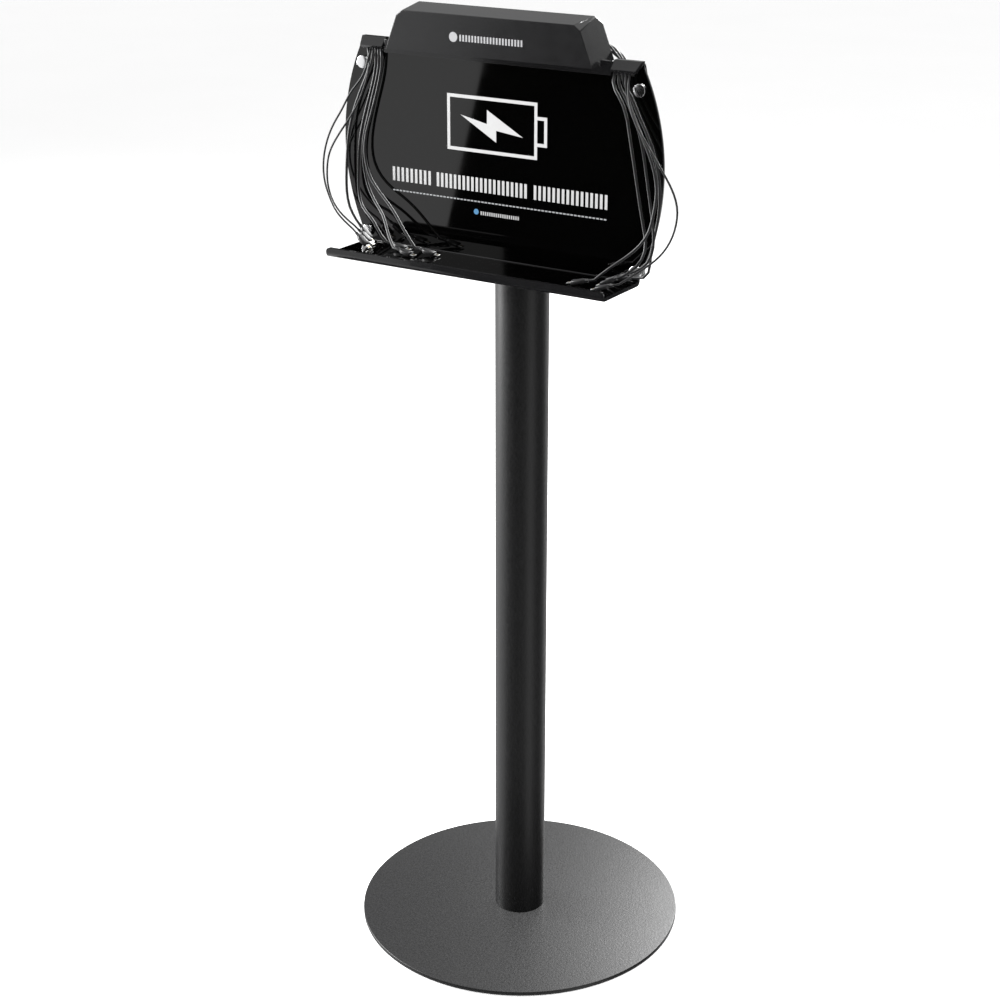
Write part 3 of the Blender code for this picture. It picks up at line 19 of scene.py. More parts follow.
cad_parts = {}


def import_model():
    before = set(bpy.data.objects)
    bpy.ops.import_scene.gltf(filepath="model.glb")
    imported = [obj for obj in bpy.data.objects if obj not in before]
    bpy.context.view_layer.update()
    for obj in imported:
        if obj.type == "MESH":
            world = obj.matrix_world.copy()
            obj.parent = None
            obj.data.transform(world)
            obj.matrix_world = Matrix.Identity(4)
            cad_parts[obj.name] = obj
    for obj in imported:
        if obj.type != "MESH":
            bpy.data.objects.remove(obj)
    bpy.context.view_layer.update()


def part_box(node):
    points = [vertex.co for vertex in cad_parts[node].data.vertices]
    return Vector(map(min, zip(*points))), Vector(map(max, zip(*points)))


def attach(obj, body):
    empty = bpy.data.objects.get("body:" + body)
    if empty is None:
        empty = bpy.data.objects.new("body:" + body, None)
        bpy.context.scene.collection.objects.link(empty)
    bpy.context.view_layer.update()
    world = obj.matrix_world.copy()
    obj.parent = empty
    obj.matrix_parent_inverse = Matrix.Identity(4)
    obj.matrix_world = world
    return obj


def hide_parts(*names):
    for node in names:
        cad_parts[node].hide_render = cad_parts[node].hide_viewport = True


LOG = logging.getLogger("kiosk")
MM = 0.001
STAND = "kiosk"
ROCKER = "rocker"
SMOOTH_ANGLE = 35.0  # degrees: a sharper edge stays sharp
MERGE = 1e-6  # metres: corners as near as this are one
PAST = 9 * MM  # how far cutters reach past what they cut

Point = Sequence[float]
Pair = tuple[float, float]
Triple = tuple[float, float, float]


class Side(Enum):
    """The two sides of the head, as seen from the front."""

    LEFT = -1
    RIGHT = 1

    @property
    def word(self) -> str:
        """The side's word in node names."""
        return self.name.lower()


class Grain(Enum):
    """The detail of a finish's relief."""

    FINE = 3.0
    SMOOTH = 1.0


# Finishes


def add_node(tree: NodeTree, kind: str, **given: Any) -> Node:
    """Adds a node to a tree.

    Args:
        tree: The tree.
        kind: The node's type.
        given: A value or a socket for each input, with underscores for the spaces in its name.

    Returns:
        The node.
    """
    made = tree.nodes.new(kind)
    for name, value in given.items():
        socket = made.inputs[name.replace("_", " ")]
        if isinstance(value, NodeSocket):
            tree.links.new(value, socket)
        else:
            socket.default_value = value
    return made


@dataclass(frozen=True)
class Finish:
    """One procedural finish: colour variation, roughness variation and a fine relief.

    Attributes:
        name: The material's name.
        slot: The record's material slot, or an empty string for a printed or metal detail; not used.
        colour: The lighter of the two base colours.
        shade: The darker base colour, as a share of the lighter one.
        roughness: The lowest roughness.
        spread: How far the roughness rises above that.
        metallic: The shader's metallic value.
        specular: The shader's specular level.
        grain: The detail of the relief.
        grain_scale: Relief features per metre.
        relief: Depth of the relief in metres.
        mottle_scale: Features per metre of the colour and roughness variation.
        mottle: The part of the noise that the variation spans.
    """

    name: str
    slot: str
    colour: Triple
    shade: float = 0.85
    roughness: float = 0.4
    spread: float = 0.06
    metallic: float = 0.0
    specular: float = 0.5
    grain: Grain = Grain.FINE
    grain_scale: float = 900.0
    relief: float = 0.00002
    mottle_scale: float = 40.0
    mottle: Pair = (0.3, 0.7)

    def build(self) -> Material:
        """Makes the material.

        Returns:
            The node material.
        """
        made = bpy.data.materials.new(self.name)
        made.use_nodes = True
        tree = made.node_tree
        where = tree.nodes.new("ShaderNodeTexCoord").outputs["Object"]
        mottle = add_node(tree, "ShaderNodeTexNoise", Vector=where, Scale=self.mottle_scale, Detail=4.0)
        tone = add_node(tree, "ShaderNodeValToRGB", Fac=mottle.outputs["Fac"])
        dark = [channel * self.shade for channel in self.colour]
        for stop, place, colour in zip(tone.color_ramp.elements, self.mottle, (dark, self.colour)):
            stop.position = place
            stop.color = (*colour, 1.0)
        dull = add_node(
            tree, "ShaderNodeMapRange", Value=mottle.outputs["Fac"], From_Min=self.mottle[0],
            From_Max=self.mottle[1], To_Min=self.roughness, To_Max=self.roughness + self.spread,
        )
        peel = add_node(
            tree, "ShaderNodeTexNoise", Vector=where, Scale=self.grain_scale, Detail=self.grain.value,
            Roughness=0.6,
        )
        bump = add_node(
            tree, "ShaderNodeBump", Height=peel.outputs["Fac"], Strength=1.0, Distance=self.relief
        )
        shader = tree.nodes["Principled BSDF"]
        shader.inputs["Metallic"].default_value = self.metallic
        shader.inputs["Specular IOR Level"].default_value = self.specular
        tree.links.new(tone.outputs["Color"], shader.inputs["Base Color"])
        tree.links.new(dull.outputs["Result"], shader.inputs["Roughness"])
        tree.links.new(bump.outputs["Normal"], shader.inputs["Normal"])
        return made


@dataclass
class Finishes:
    """All finishes of the kiosk, made once."""

    powder: Finish = Finish(
        "powder_coat", "powder_coat", (0.0105, 0.0105, 0.011), 0.6, 0.34, 0.14, specular=0.42,
        grain_scale=430.0, relief=0.00022, mottle_scale=380.0,
    )
    satin: Finish = Finish(
        "satin_black", "satin_black", (0.0115, 0.0115, 0.012), 0.85, 0.15, 0.03, specular=0.42,
        grain_scale=1600.0, relief=0.00002, mottle_scale=60.0,
    )
    gloss: Finish = Finish(
        "gloss_acrylic", "acrylic", (0.0005, 0.0005, 0.0005), 0.8, 0.022, 0.014, grain=Grain.SMOOTH,
        grain_scale=9.0, relief=0.00001, mottle_scale=22.0,
    )
    bare: Finish = Finish(
        "bare_acrylic", "acrylic", (0.0085, 0.0085, 0.009), 0.85, 0.07, 0.03, specular=0.42,
        grain=Grain.SMOOTH, grain_scale=30.0, relief=0.00001, mottle_scale=90.0,
    )
    chrome: Finish = Finish(
        "polished_chrome", "chrome", (0.88, 0.88, 0.89), 0.97, 0.15, 0.05, 1.0, grain=Grain.SMOOTH,
        grain_scale=500.0, relief=0.000004,
    )
    zinc: Finish = Finish(
        "zinc_plate", "zinc", (0.62, 0.63, 0.62), 0.8, 0.28, 0.12, 1.0, grain_scale=1500.0,
        relief=0.00002, mottle_scale=260.0,
    )
    rubber: Finish = Finish(
        "black_rubber", "rubber", (0.02, 0.02, 0.02), 0.8, 0.62, 0.12, grain_scale=1400.0,
        relief=0.00005, mottle_scale=300.0,
    )
    plastic: Finish = Finish(
        "moulded_plastic", "plastic", (0.02, 0.02, 0.021), 0.85, 0.34, 0.08, grain_scale=2600.0,
        relief=0.00003, mottle_scale=200.0,
    )
    jacket: Finish = Finish(
        "lead_jacket", "lead_jacket", (0.014, 0.014, 0.015), 0.8, 0.36, 0.1, grain_scale=1800.0,
        relief=0.00003, mottle_scale=160.0,
    )
    white_ink: Finish = Finish(
        "white_ink", "acrylic", (0.5, 0.5, 0.5), 0.96, 0.35, 0.08, grain_scale=2400.0,
        relief=0.00001, mottle_scale=500.0,
    )
    grey_ink: Finish = Finish(
        "grey_ink", "acrylic", (0.36, 0.37, 0.38), 0.9, 0.38, 0.08, grain_scale=2400.0,
        relief=0.00001, mottle_scale=500.0,
    )
    silver_ink: Finish = Finish(
        "silver_ink", "satin_black", (0.36, 0.36, 0.37), 0.92, 0.38, 0.08, grain_scale=2400.0,
        relief=0.00001, mottle_scale=500.0,
    )
    blue_ink: Finish = Finish(
        "blue_ink", "acrylic", (0.07, 0.24, 0.45), 0.9, 0.36, 0.08, grain_scale=2400.0,
        relief=0.00001, mottle_scale=500.0,
    )
    contact: Finish = Finish(
        "contact_gold", "zinc", (0.83, 0.62, 0.27), 0.9, 0.2, 0.08, 1.0, grain_scale=3000.0,
        relief=0.00001, mottle_scale=900.0,
    )
    made: dict[str, Material] = field(default_factory=dict)

    def material(self, finish: Finish) -> Material:
        """The finish's material, made the first time that it is asked for."""
        if finish.name not in self.made:
            self.made[finish.name] = finish.build()
        return self.made[finish.name]

    def dress(self, node: str, finish: Finish) -> None:
        """Gives a carried-over solid its finish.

        Args:
            node: The solid's name.
            finish: Its finish.
        """
        obj = bpy.data.objects[node]
        obj.data.materials.clear()
        obj.data.materials.append(self.material(finish))
        LOG.info("%s dressed in %s", node, finish.name)

    def fit(
        self, obj: Object, finish: Finish, nodes: Iterable[str] = (), body: str = STAND
    ) -> Object:
        """Dresses a new piece, lets it ride, and hides the solids that it replaces.

        Args:
            obj: The piece.
            finish: Its finish.
            nodes: The solids that it replaces.
            body: The body that it moves with.

        Returns:
            The piece.
        """
        if not obj.data.materials:
            obj.data.materials.append(self.material(finish))
        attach(obj, body)
        names = list(nodes)
        if names:
            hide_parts(*names)
        LOG.info("%s made in %s", obj.name, finish.name)
        return obj

    def refit(self, node: str, name: str, finish: Finish, width: float, body: str = STAND) -> None:
        """Replaces a solid with a refined copy of itself.

        Args:
            node: The solid's name.
            name: The copy's name.
            finish: Its finish.
            width: Width of its edge rounding.
            body: The body that it moves with.
        """
        self.fit(refined(node, name, width), finish, [node], body)


# Making meshes


def link(name: str, mesh: Mesh) -> Object:
    """Puts a mesh in the scene under a name, at the origin."""
    obj = bpy.data.objects.new(name, mesh)
    bpy.context.scene.collection.objects.link(obj)
    return obj


def shade(mesh: Mesh, sharp: Optional[float]) -> None:
    """Smooths a mesh, apart from its sharp edges.

    Args:
        mesh: The mesh.
        sharp: The angle in degrees above which an edge stays sharp, or None for flat faces.
    """
    if sharp is not None:
        mesh.shade_smooth()
        mesh.set_sharp_from_angle(angle=math.radians(sharp))


def clean(bm: BMesh, angle: float) -> None:
    """Merges an edit mesh's doubled corners and its flat faces.

    Args:
        bm: The edit mesh.
        angle: The angle in degrees below which two faces count as one.
    """
    bmesh.ops.remove_doubles(bm, verts=bm.verts, dist=MERGE)
    bmesh.ops.dissolve_limit(
        bm, angle_limit=math.radians(angle), use_dissolve_boundaries=False, verts=bm.verts, edges=bm.edges
    )


def from_bmesh(
    name: str, bm: BMesh, sharp: Optional[float] = SMOOTH_ANGLE
) -> Object:
    """Turns an edit mesh into an object with outward faces.

    Args:
        name: The object's name.
        bm: The edit mesh, which is freed.
        sharp: The angle in degrees above which an edge stays sharp, or None for flat faces.

    Returns:
        The object.
    """
    bmesh.ops.recalc_face_normals(bm, faces=bm.faces)
    mesh = bpy.data.meshes.new(name)
    bm.to_mesh(mesh)
    bm.free()
    shade(mesh, sharp)
    return link(name, mesh)


def lathe(
    name: str, profile: Sequence[Pair], place: Matrix, sides: int, closed: bool = False
) -> Object:
    """A solid of revolution about the place's own Z.

    Args:
        name: The object's name.
        profile: Radius and height of each corner; an open profile starts and ends at radius zero.
        place: Where its axis stands.
        sides: Faces round it.
        closed: Whether the profile is a ring, for a solid with a bore.

    Returns:
        The object.
    """
    bm = bmesh.new()
    rings = []
    for radius, height in profile:
        count = 1 if radius < MERGE else sides
        turns = [2 * math.pi * i / sides for i in range(count)]
        ring = [(radius * math.cos(turn), radius * math.sin(turn), height) for turn in turns]
        rings.append([bm.verts.new(place @ Vector(point)) for point in ring])
    pairs = list(zip(rings, rings[1:]))
    if closed:
        pairs.append((rings[-1], rings[0]))
    for low, high in pairs:
        for i in range(sides):
            j = (i + 1) % sides
            corners = [low[i % len(low)], low[j % len(low)], high[j % len(high)], high[i % len(high)]]
            bm.faces.new(list(dict.fromkeys(corners)))
    return from_bmesh(name, bm)


def rounded(
    corner: Pair, radius: float, start: float, steps: int = 5
) -> list[Pair]:
    """Points of a quarter turn, clockwise from an angle in degrees, about a centre."""
    out = []
    for i in range(steps + 1):
        angle = math.radians(start - 90 * i / steps)
        out.append((corner[0] + radius * math.cos(angle), corner[1] + radius * math.sin(angle)))
    return out


def slab(name: str, outline: Sequence[Pair], front: float, back: float) -> Object:
    """A flat plate of any outline, given as X and Z, between two values of Y."""
    bm = bmesh.new()
    face = bm.faces.new([bm.verts.new((x, front, z)) for x, z in outline])
    grown = bmesh.ops.extrude_face_region(bm, geom=[face])
    moved = [item for item in grown["geom"] if isinstance(item, BMVert)]
    bmesh.ops.translate(bm, vec=(0, back - front, 0), verts=moved)
    return from_bmesh(name, bm, None)


def block(name: str, low: Point, high: Point) -> Object:
    """A box between two corners, used as a blank or a cutter."""
    outline = [(low[0], low[2]), (high[0], low[2]), (high[0], high[2]), (low[0], high[2])]
    return slab(name, outline, low[1], high[1])


def drill(name: str, x: float, z: float, radius: float, front: float, back: float) -> Object:
    """A round cutter along Y."""
    sides = 40
    turns = [2 * math.pi * i / sides for i in range(sides)]
    outline = [(x + radius * math.cos(turn), z + radius * math.sin(turn)) for turn in turns]
    return slab(name, outline, front, back)


def settle(obj: Object, sharp: Optional[float] = SMOOTH_ANGLE) -> None:
    """Applies a piece's modifiers and sets its sharp edges.

    Args:
        obj: The piece.
        sharp: The angle in degrees above which an edge stays sharp, or None for flat faces.
    """
    graph = bpy.context.evaluated_depsgraph_get()
    mesh = bpy.data.meshes.new_from_object(obj.evaluated_get(graph))
    obj.modifiers.clear()
    obj.data = mesh
    shade(mesh, sharp)


def flatten(mesh: Mesh, least_area: float = 2e-5, least_width: float = 2.2 * MM) -> None:
    """Shades a mesh's broad faces flat, so that its rounded edges don't tint them.

    Args:
        mesh: The mesh.
        least_area: The area from which a face counts as broad.
        least_width: The width from which it does.
    """
    places = [vertex.co for vertex in mesh.vertices]
    for face in mesh.polygons:
        if face.area < least_area:
            continue
        corners = [places[i] for i in face.vertices]
        longest = max((a - b).length for a, b in zip(corners, corners[1:] + corners[:1]))
        if face.area / longest > least_width:
            face.use_smooth = False


def cut(obj: Object, cutters: Sequence[Object]) -> None:
    """Cuts solids out of a piece and removes them.

    Args:
        obj: The piece.
        cutters: The solids.
    """
    for tool in cutters:
        work = obj.modifiers.new(tool.name, "BOOLEAN")
        work.operation = "DIFFERENCE"
        work.solver = "EXACT"
        work.object = tool
    settle(obj, None)
    for tool in cutters:
        bpy.data.objects.remove(tool)


def ease(obj: Object, width: float, segments: int = 2, angle: float = 32.0) -> None:
    """Rounds a piece's edges and shades it.

    Args:
        obj: The piece.
        width: Width of the rounding in metres.
        segments: Faces across it.
        angle: The least angle in degrees of an edge that is rounded.
    """
    work = obj.modifiers.new("eased_edges", "BEVEL")
    work.width = width
    work.segments = segments
    work.limit_method = "ANGLE"
    work.angle_limit = math.radians(angle)
    work.use_clamp_overlap = True
    work.miter_outer = "MITER_ARC"
    settle(obj)
    flatten(obj.data)


def refined(node: str, name: str, width: float, sharp: float = SMOOTH_ANGLE) -> Object:
    """A copy of a solid with merged corners, cleaned flats and eased edges.

    Args:
        node: The solid's name.
        name: The copy's name.
        width: Width of the edge rounding, or zero for none.
        sharp: The angle in degrees above which an edge stays sharp.

    Returns:
        The copy.
    """
    bm = bmesh.new()
    bm.from_mesh(bpy.data.objects[node].data)
    clean(bm, 0.4)
    obj = from_bmesh(name, bm, sharp)
    flatten(obj.data)
    if width > 0:
        ease(obj, width)
    return obj


def centre(node: str) -> Point:
    """The middle of a solid's box."""
    low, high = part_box(node)
    return [(a + b) / 2 for a, b in zip(low, high)]


# Repeated pieces


@dataclass
class RowTree:
    """A node tree that repeats one bar or ring along a line.

    Attributes:
        name: The tree's name.
        ring: Whether the repeated piece is a ring about X; otherwise it is a bar.
    """

    name: str
    ring: bool = False

    def build(self) -> NodeTree:
        """Makes the tree.

        Returns:
            The tree, with the inputs Count, Start, Step, Size and Material.
        """
        tree = bpy.data.node_groups.new(self.name, "GeometryNodeTree")
        face = tree.interface
        face.new_socket("Count", in_out="INPUT", socket_type="NodeSocketInt")
        for word in ("Start", "Step", "Size"):
            face.new_socket(word, in_out="INPUT", socket_type="NodeSocketVector")
        face.new_socket("Material", in_out="INPUT", socket_type="NodeSocketMaterial")
        face.new_socket("Geometry", in_out="OUTPUT", socket_type="NodeSocketGeometry")
        given = tree.nodes.new("NodeGroupInput").outputs
        line = add_node(
            tree, "GeometryNodeMeshLine", Count=given["Count"], Start_Location=given["Start"],
            Offset=given["Step"],
        )
        unit = self.unit(tree, given["Size"])
        spread = add_node(tree, "GeometryNodeInstanceOnPoints", Points=line.outputs["Mesh"], Instance=unit)
        real = add_node(tree, "GeometryNodeRealizeInstances", Geometry=spread.outputs["Instances"])
        painted = add_node(
            tree, "GeometryNodeSetMaterial", Geometry=real.outputs["Geometry"], Material=given["Material"]
        )
        add_node(tree, "NodeGroupOutput", Geometry=painted.outputs["Geometry"])
        return tree

    def unit(self, tree: NodeTree, size: NodeSocket) -> NodeSocket:
        """Adds the nodes of the repeated piece.

        Args:
            tree: The tree.
            size: The socket that gives its size.

        Returns:
            The socket that holds the piece.
        """
        if not self.ring:
            return add_node(tree, "GeometryNodeMeshCube", Size=size).outputs["Mesh"]
        radii = add_node(tree, "ShaderNodeSeparateXYZ", Vector=size).outputs
        loop, wire = (
            add_node(tree, "GeometryNodeCurvePrimitiveCircle", Resolution=sides, Radius=radius)
            for sides, radius in ((20, radii["X"]), (8, radii["Y"]))
        )
        upright = add_node(
            tree, "GeometryNodeTransform", Geometry=loop.outputs["Curve"], Rotation=(0, math.pi / 2, 0)
        )
        sweep = add_node(
            tree, "GeometryNodeCurveToMesh", Curve=upright.outputs["Geometry"],
            Profile_Curve=wire.outputs["Curve"],
        )
        return sweep.outputs["Mesh"]


@dataclass
class Rows:
    """Makes rows of bars and rings from the two trees."""

    bars: NodeTree = field(default_factory=lambda: RowTree("row_of_bars").build())
    rings: NodeTree = field(default_factory=lambda: RowTree("row_of_rings", True).build())

    def row(
        self, name: str, count: int, start: Point, step: Point, size: Point,
        material: Material, ring: bool = False,
    ) -> Object:
        """One row as a plain mesh.

        Args:
            name: The object's name.
            count: How many pieces it has.
            start: The middle of the first.
            step: From one to the next.
            size: A bar's lengths, or a ring's radius and its wire's radius.
            material: The material of all of them.
            ring: Whether they are rings.

        Returns:
            The object.
        """
        obj = link(name, bpy.data.meshes.new(name))
        work = obj.modifiers.new("row", "NODES")
        work.node_group = self.rings if ring else self.bars
        values = {"Count": count, "Start": start, "Step": step, "Size": size, "Material": material}
        for item in work.node_group.interface.items_tree:
            if item.in_out == "INPUT":
                work[item.identifier] = values[item.name]
        settle(obj, SMOOTH_ANGLE if ring else None)
        return obj


# Camera, floor and light


@dataclass
class Studio:
    """The camera, a pale floor and soft light.

    Attributes:
        eye: The camera's place.
        turn: Its rotation in degrees.
        lens: Its focal length in millimetres.
        card_radius: Distance of the dark cards round the camera's side.
        cards: Left end and right end of each card in degrees from the front, and how many degrees its
            left end moves for each metre of height.
        card_heights: Their heights from bottom to top.
        card_glow: Their radiance.
        grey_card: Ends of the dim card behind the kiosk, in degrees from the front, and its radiance.
        grey_heights: Its heights from bottom to top.
        shelf_card: Ends of the small dark card that the shelf's left end mirrors, in degrees.
        shelf_heights: Its heights from bottom to top.
        under_card: X, Y and Z of two corners of a small dark card under the lip.
    """

    eye: Triple = (1.2964, -2.1074, 1.613)
    turn: Triple = (68.51, 0.0, 32.27)
    lens: float = 70.8
    card_radius: float = 3.08
    cards: tuple[Triple, ...] = ((-35.6, 58.0, 4.2), (86.0, 149.0, 0.0))
    card_heights: tuple[float, ...] = (-2.6, 0.0, 1.0, 4.6)
    card_glow: float = 0.01
    grey_card: Triple = (-166.0, -112.0, 0.45)
    grey_heights: Triple = (0.6, 2.0, 4.4)
    shelf_card: Pair = (-144.0, -130.0)
    shelf_heights: Triple = (1.6, 1.74, 1.88)
    under_card: tuple[Point, Point] = ((-0.27, -0.20, 0.905), (0.27, -0.085, 0.906))

    def camera(self) -> None:
        """Places the camera."""
        data = bpy.data.cameras.new("camera")
        data.lens = self.lens
        data.sensor_width = 36.0
        camera = bpy.data.objects.new("camera", data)
        camera.location = self.eye
        camera.rotation_euler = [math.radians(angle) for angle in self.turn]
        bpy.context.scene.collection.objects.link(camera)
        bpy.context.scene.camera = camera

    def floor(self) -> None:
        """Lays the floor, which gloss doesn't mirror."""
        bm = bmesh.new()
        bmesh.ops.create_circle(bm, cap_ends=True, radius=70.0, segments=96)
        floor = from_bmesh("studio_floor", bm, None)
        pale = Finish(
            "pale_floor", "", (0.97, 0.97, 0.97), 0.99, 0.7, 0.05, grain_scale=60.0, relief=0.0002,
            mottle_scale=2.0,
        )
        floor.data.materials.append(pale.build())
        floor.visible_glossy = False

    def hide(self, card: Object, glow: float) -> None:
        """Gives a card an even tone and lets gloss alone see it.

        Args:
            card: The card.
            glow: Its radiance.
        """
        tone = bpy.data.materials.new(card.name)
        tone.use_nodes = True
        shader = tone.node_tree.nodes["Principled BSDF"]
        shader.inputs["Base Color"].default_value = (0.0, 0.0, 0.0, 1.0)
        shader.inputs["Specular IOR Level"].default_value = 0.0
        shader.inputs["Emission Color"].default_value = (1.0, 1.0, 1.0, 1.0)
        shader.inputs["Emission Strength"].default_value = glow
        card.data.materials.append(tone)
        card.visible_camera = False
        card.visible_diffuse = False
        card.visible_shadow = False

    def standing_card(
        self, name: str, left: float, right: float, lean: float, heights: Sequence[float], nearer: float = 0.0
    ) -> Object:
        """A curved card round the kiosk.

        Args:
            name: The card's name.
            left: Its left end in degrees from the front, at floor level.
            right: Its right end.
            lean: Degrees that its left end moves for each of the lowest metres.
            heights: Its heights from bottom to top.
            nearer: How far it stands inside the other cards.

        Returns:
            The card.
        """
        columns = 24
        reach = self.card_radius - nearer
        bm = bmesh.new()
        rows = []
        for z in heights:
            start = left + lean * min(z, 1.0)
            turns = [math.radians(start + (right - start) * i / columns) for i in range(columns + 1)]
            places = [(reach * math.sin(turn), -reach * math.cos(turn), z) for turn in turns]
            rows.append([bm.verts.new(place) for place in places])
        for low, high in zip(rows, rows[1:]):
            for i in range(columns):
                bm.faces.new((low[i], low[i + 1], high[i + 1], high[i]))
        return from_bmesh(name, bm, None)

    def place_cards(self) -> None:
        """Stands the dark cards round the camera's side, a dim one behind, and hangs the small one."""
        for number, (left, right, lean) in enumerate(self.cards, 1):
            card = self.standing_card(f"dark_card_{number}", left, right, lean, self.card_heights)
            self.hide(card, self.card_glow)
        left, right, glow = self.grey_card
        self.hide(self.standing_card("grey_card", left, right, 0.0, self.grey_heights), glow)
        small = self.standing_card("shelf_card", *self.shelf_card, 0.0, self.shelf_heights, 0.08)
        self.hide(small, 0.0)
        self.hide(block("dark_card_under", *self.under_card), 0.0)

    def area(
        self, name: str, place: Point, aim: Point, size: Pair, power: float, shadows: bool = True
    ) -> None:
        """Hangs a soft light.

        Args:
            name: The light's name.
            place: Where it hangs.
            aim: The point that it faces.
            size: Its width and height.
            power: Its power in watts.
            shadows: Whether it casts shadows.
        """
        data = bpy.data.lights.new(name, "AREA")
        data.shape = "RECTANGLE"
        data.size, data.size_y = size
        data.energy = power
        data.use_shadow = shadows
        lamp = bpy.data.objects.new(name, data)
        lamp.location = place
        lamp.visible_camera = False
        lamp.rotation_euler = (Vector(aim) - Vector(place)).to_track_quat("-Z", "Y").to_euler()
        bpy.context.scene.collection.objects.link(lamp)

    def light(self) -> None:
        """Lights the room: a white surround, and soft lights behind and on the left."""
        world = bpy.data.worlds.new("white_surround")
        world.use_nodes = True
        around = world.node_tree.nodes["Background"]
        around.inputs["Color"].default_value = (1.0, 1.0, 1.0, 1.0)
        around.inputs["Strength"].default_value = 1.0
        bpy.context.scene.world = world
        self.area("back_light", (-0.15, 2.95, 2.0), (0, 0, 0.2), (1.1, 1.8), 190.0, False)
        self.area("left_light", (-2.9, -0.9, 1.6), (0, 0, 0.9), (1.0, 2.8), 225.0)
        bpy.context.scene.view_settings.view_transform = "Standard"

    def build(self) -> None:
        """Sets the whole studio up."""
        self.camera()
        self.floor()
        self.place_cards()
        self.light()


# Leads


def smooth_route(points: Sequence[Point], step: float) -> np.ndarray:
    """Evenly spaced points along a natural cubic spline.

    Args:
        points: The knots of the spline.
        step: The distance between the points.

    Returns:
        The points, one in each row.
    """
    knots = np.array(points, float)
    chord = np.concatenate([[0], np.cumsum(np.linalg.norm(np.diff(knots, axis=0), axis=1))])
    gaps = np.diff(chord)
    count = len(knots)
    system = np.zeros((count, count))
    right = np.zeros((count, 3))
    system[0, 0] = 1
    system[-1, -1] = 1
    for i in range(1, count - 1):
        system[i, i - 1] = gaps[i - 1]
        system[i, i] = 2 * (gaps[i - 1] + gaps[i])
        system[i, i + 1] = gaps[i]
        right[i] = 6 * ((knots[i + 1] - knots[i]) / gaps[i] - (knots[i] - knots[i - 1]) / gaps[i - 1])
    bend = np.linalg.solve(system, right)
    fine = np.linspace(0, chord[-1], 60 * count)
    span = np.clip(np.searchsorted(chord, fine, side="right") - 1, 0, count - 2)
    h = gaps[span][:, None]
    a = (chord[span + 1] - fine)[:, None] / h
    b = 1 - a
    curve = a * knots[span] + b * knots[span + 1]
    curve += ((a**3 - a) * bend[span] + (b**3 - b) * bend[span + 1]) * h**2 / 6
    run = np.concatenate([[0], np.cumsum(np.linalg.norm(np.diff(curve, axis=0), axis=1))])
    places = np.linspace(0, run[-1], max(3, round(run[-1] / step) + 1))
    return np.stack([np.interp(places, run, curve[:, axis]) for axis in range(3)], axis=1)


def cable(name: str, runs: Sequence[Sequence[Point]], diameter: float) -> Object:
    """A round cable, or a bundle of them, as a curve."""
    curve = bpy.data.curves.new(name, "CURVE")
    curve.dimensions = "3D"
    curve.bevel_depth = diameter / 2
    curve.bevel_resolution = 4
    curve.use_fill_caps = True
    for run in runs:
        spline = curve.splines.new("POLY")
        spline.points.add(len(run) - 1)
        spline.use_smooth = True
        for point, place in zip(spline.points, run):
            point.co = (*place, 1.0)
    obj = bpy.data.objects.new(name, curve)
    bpy.context.scene.collection.objects.link(obj)
    return obj


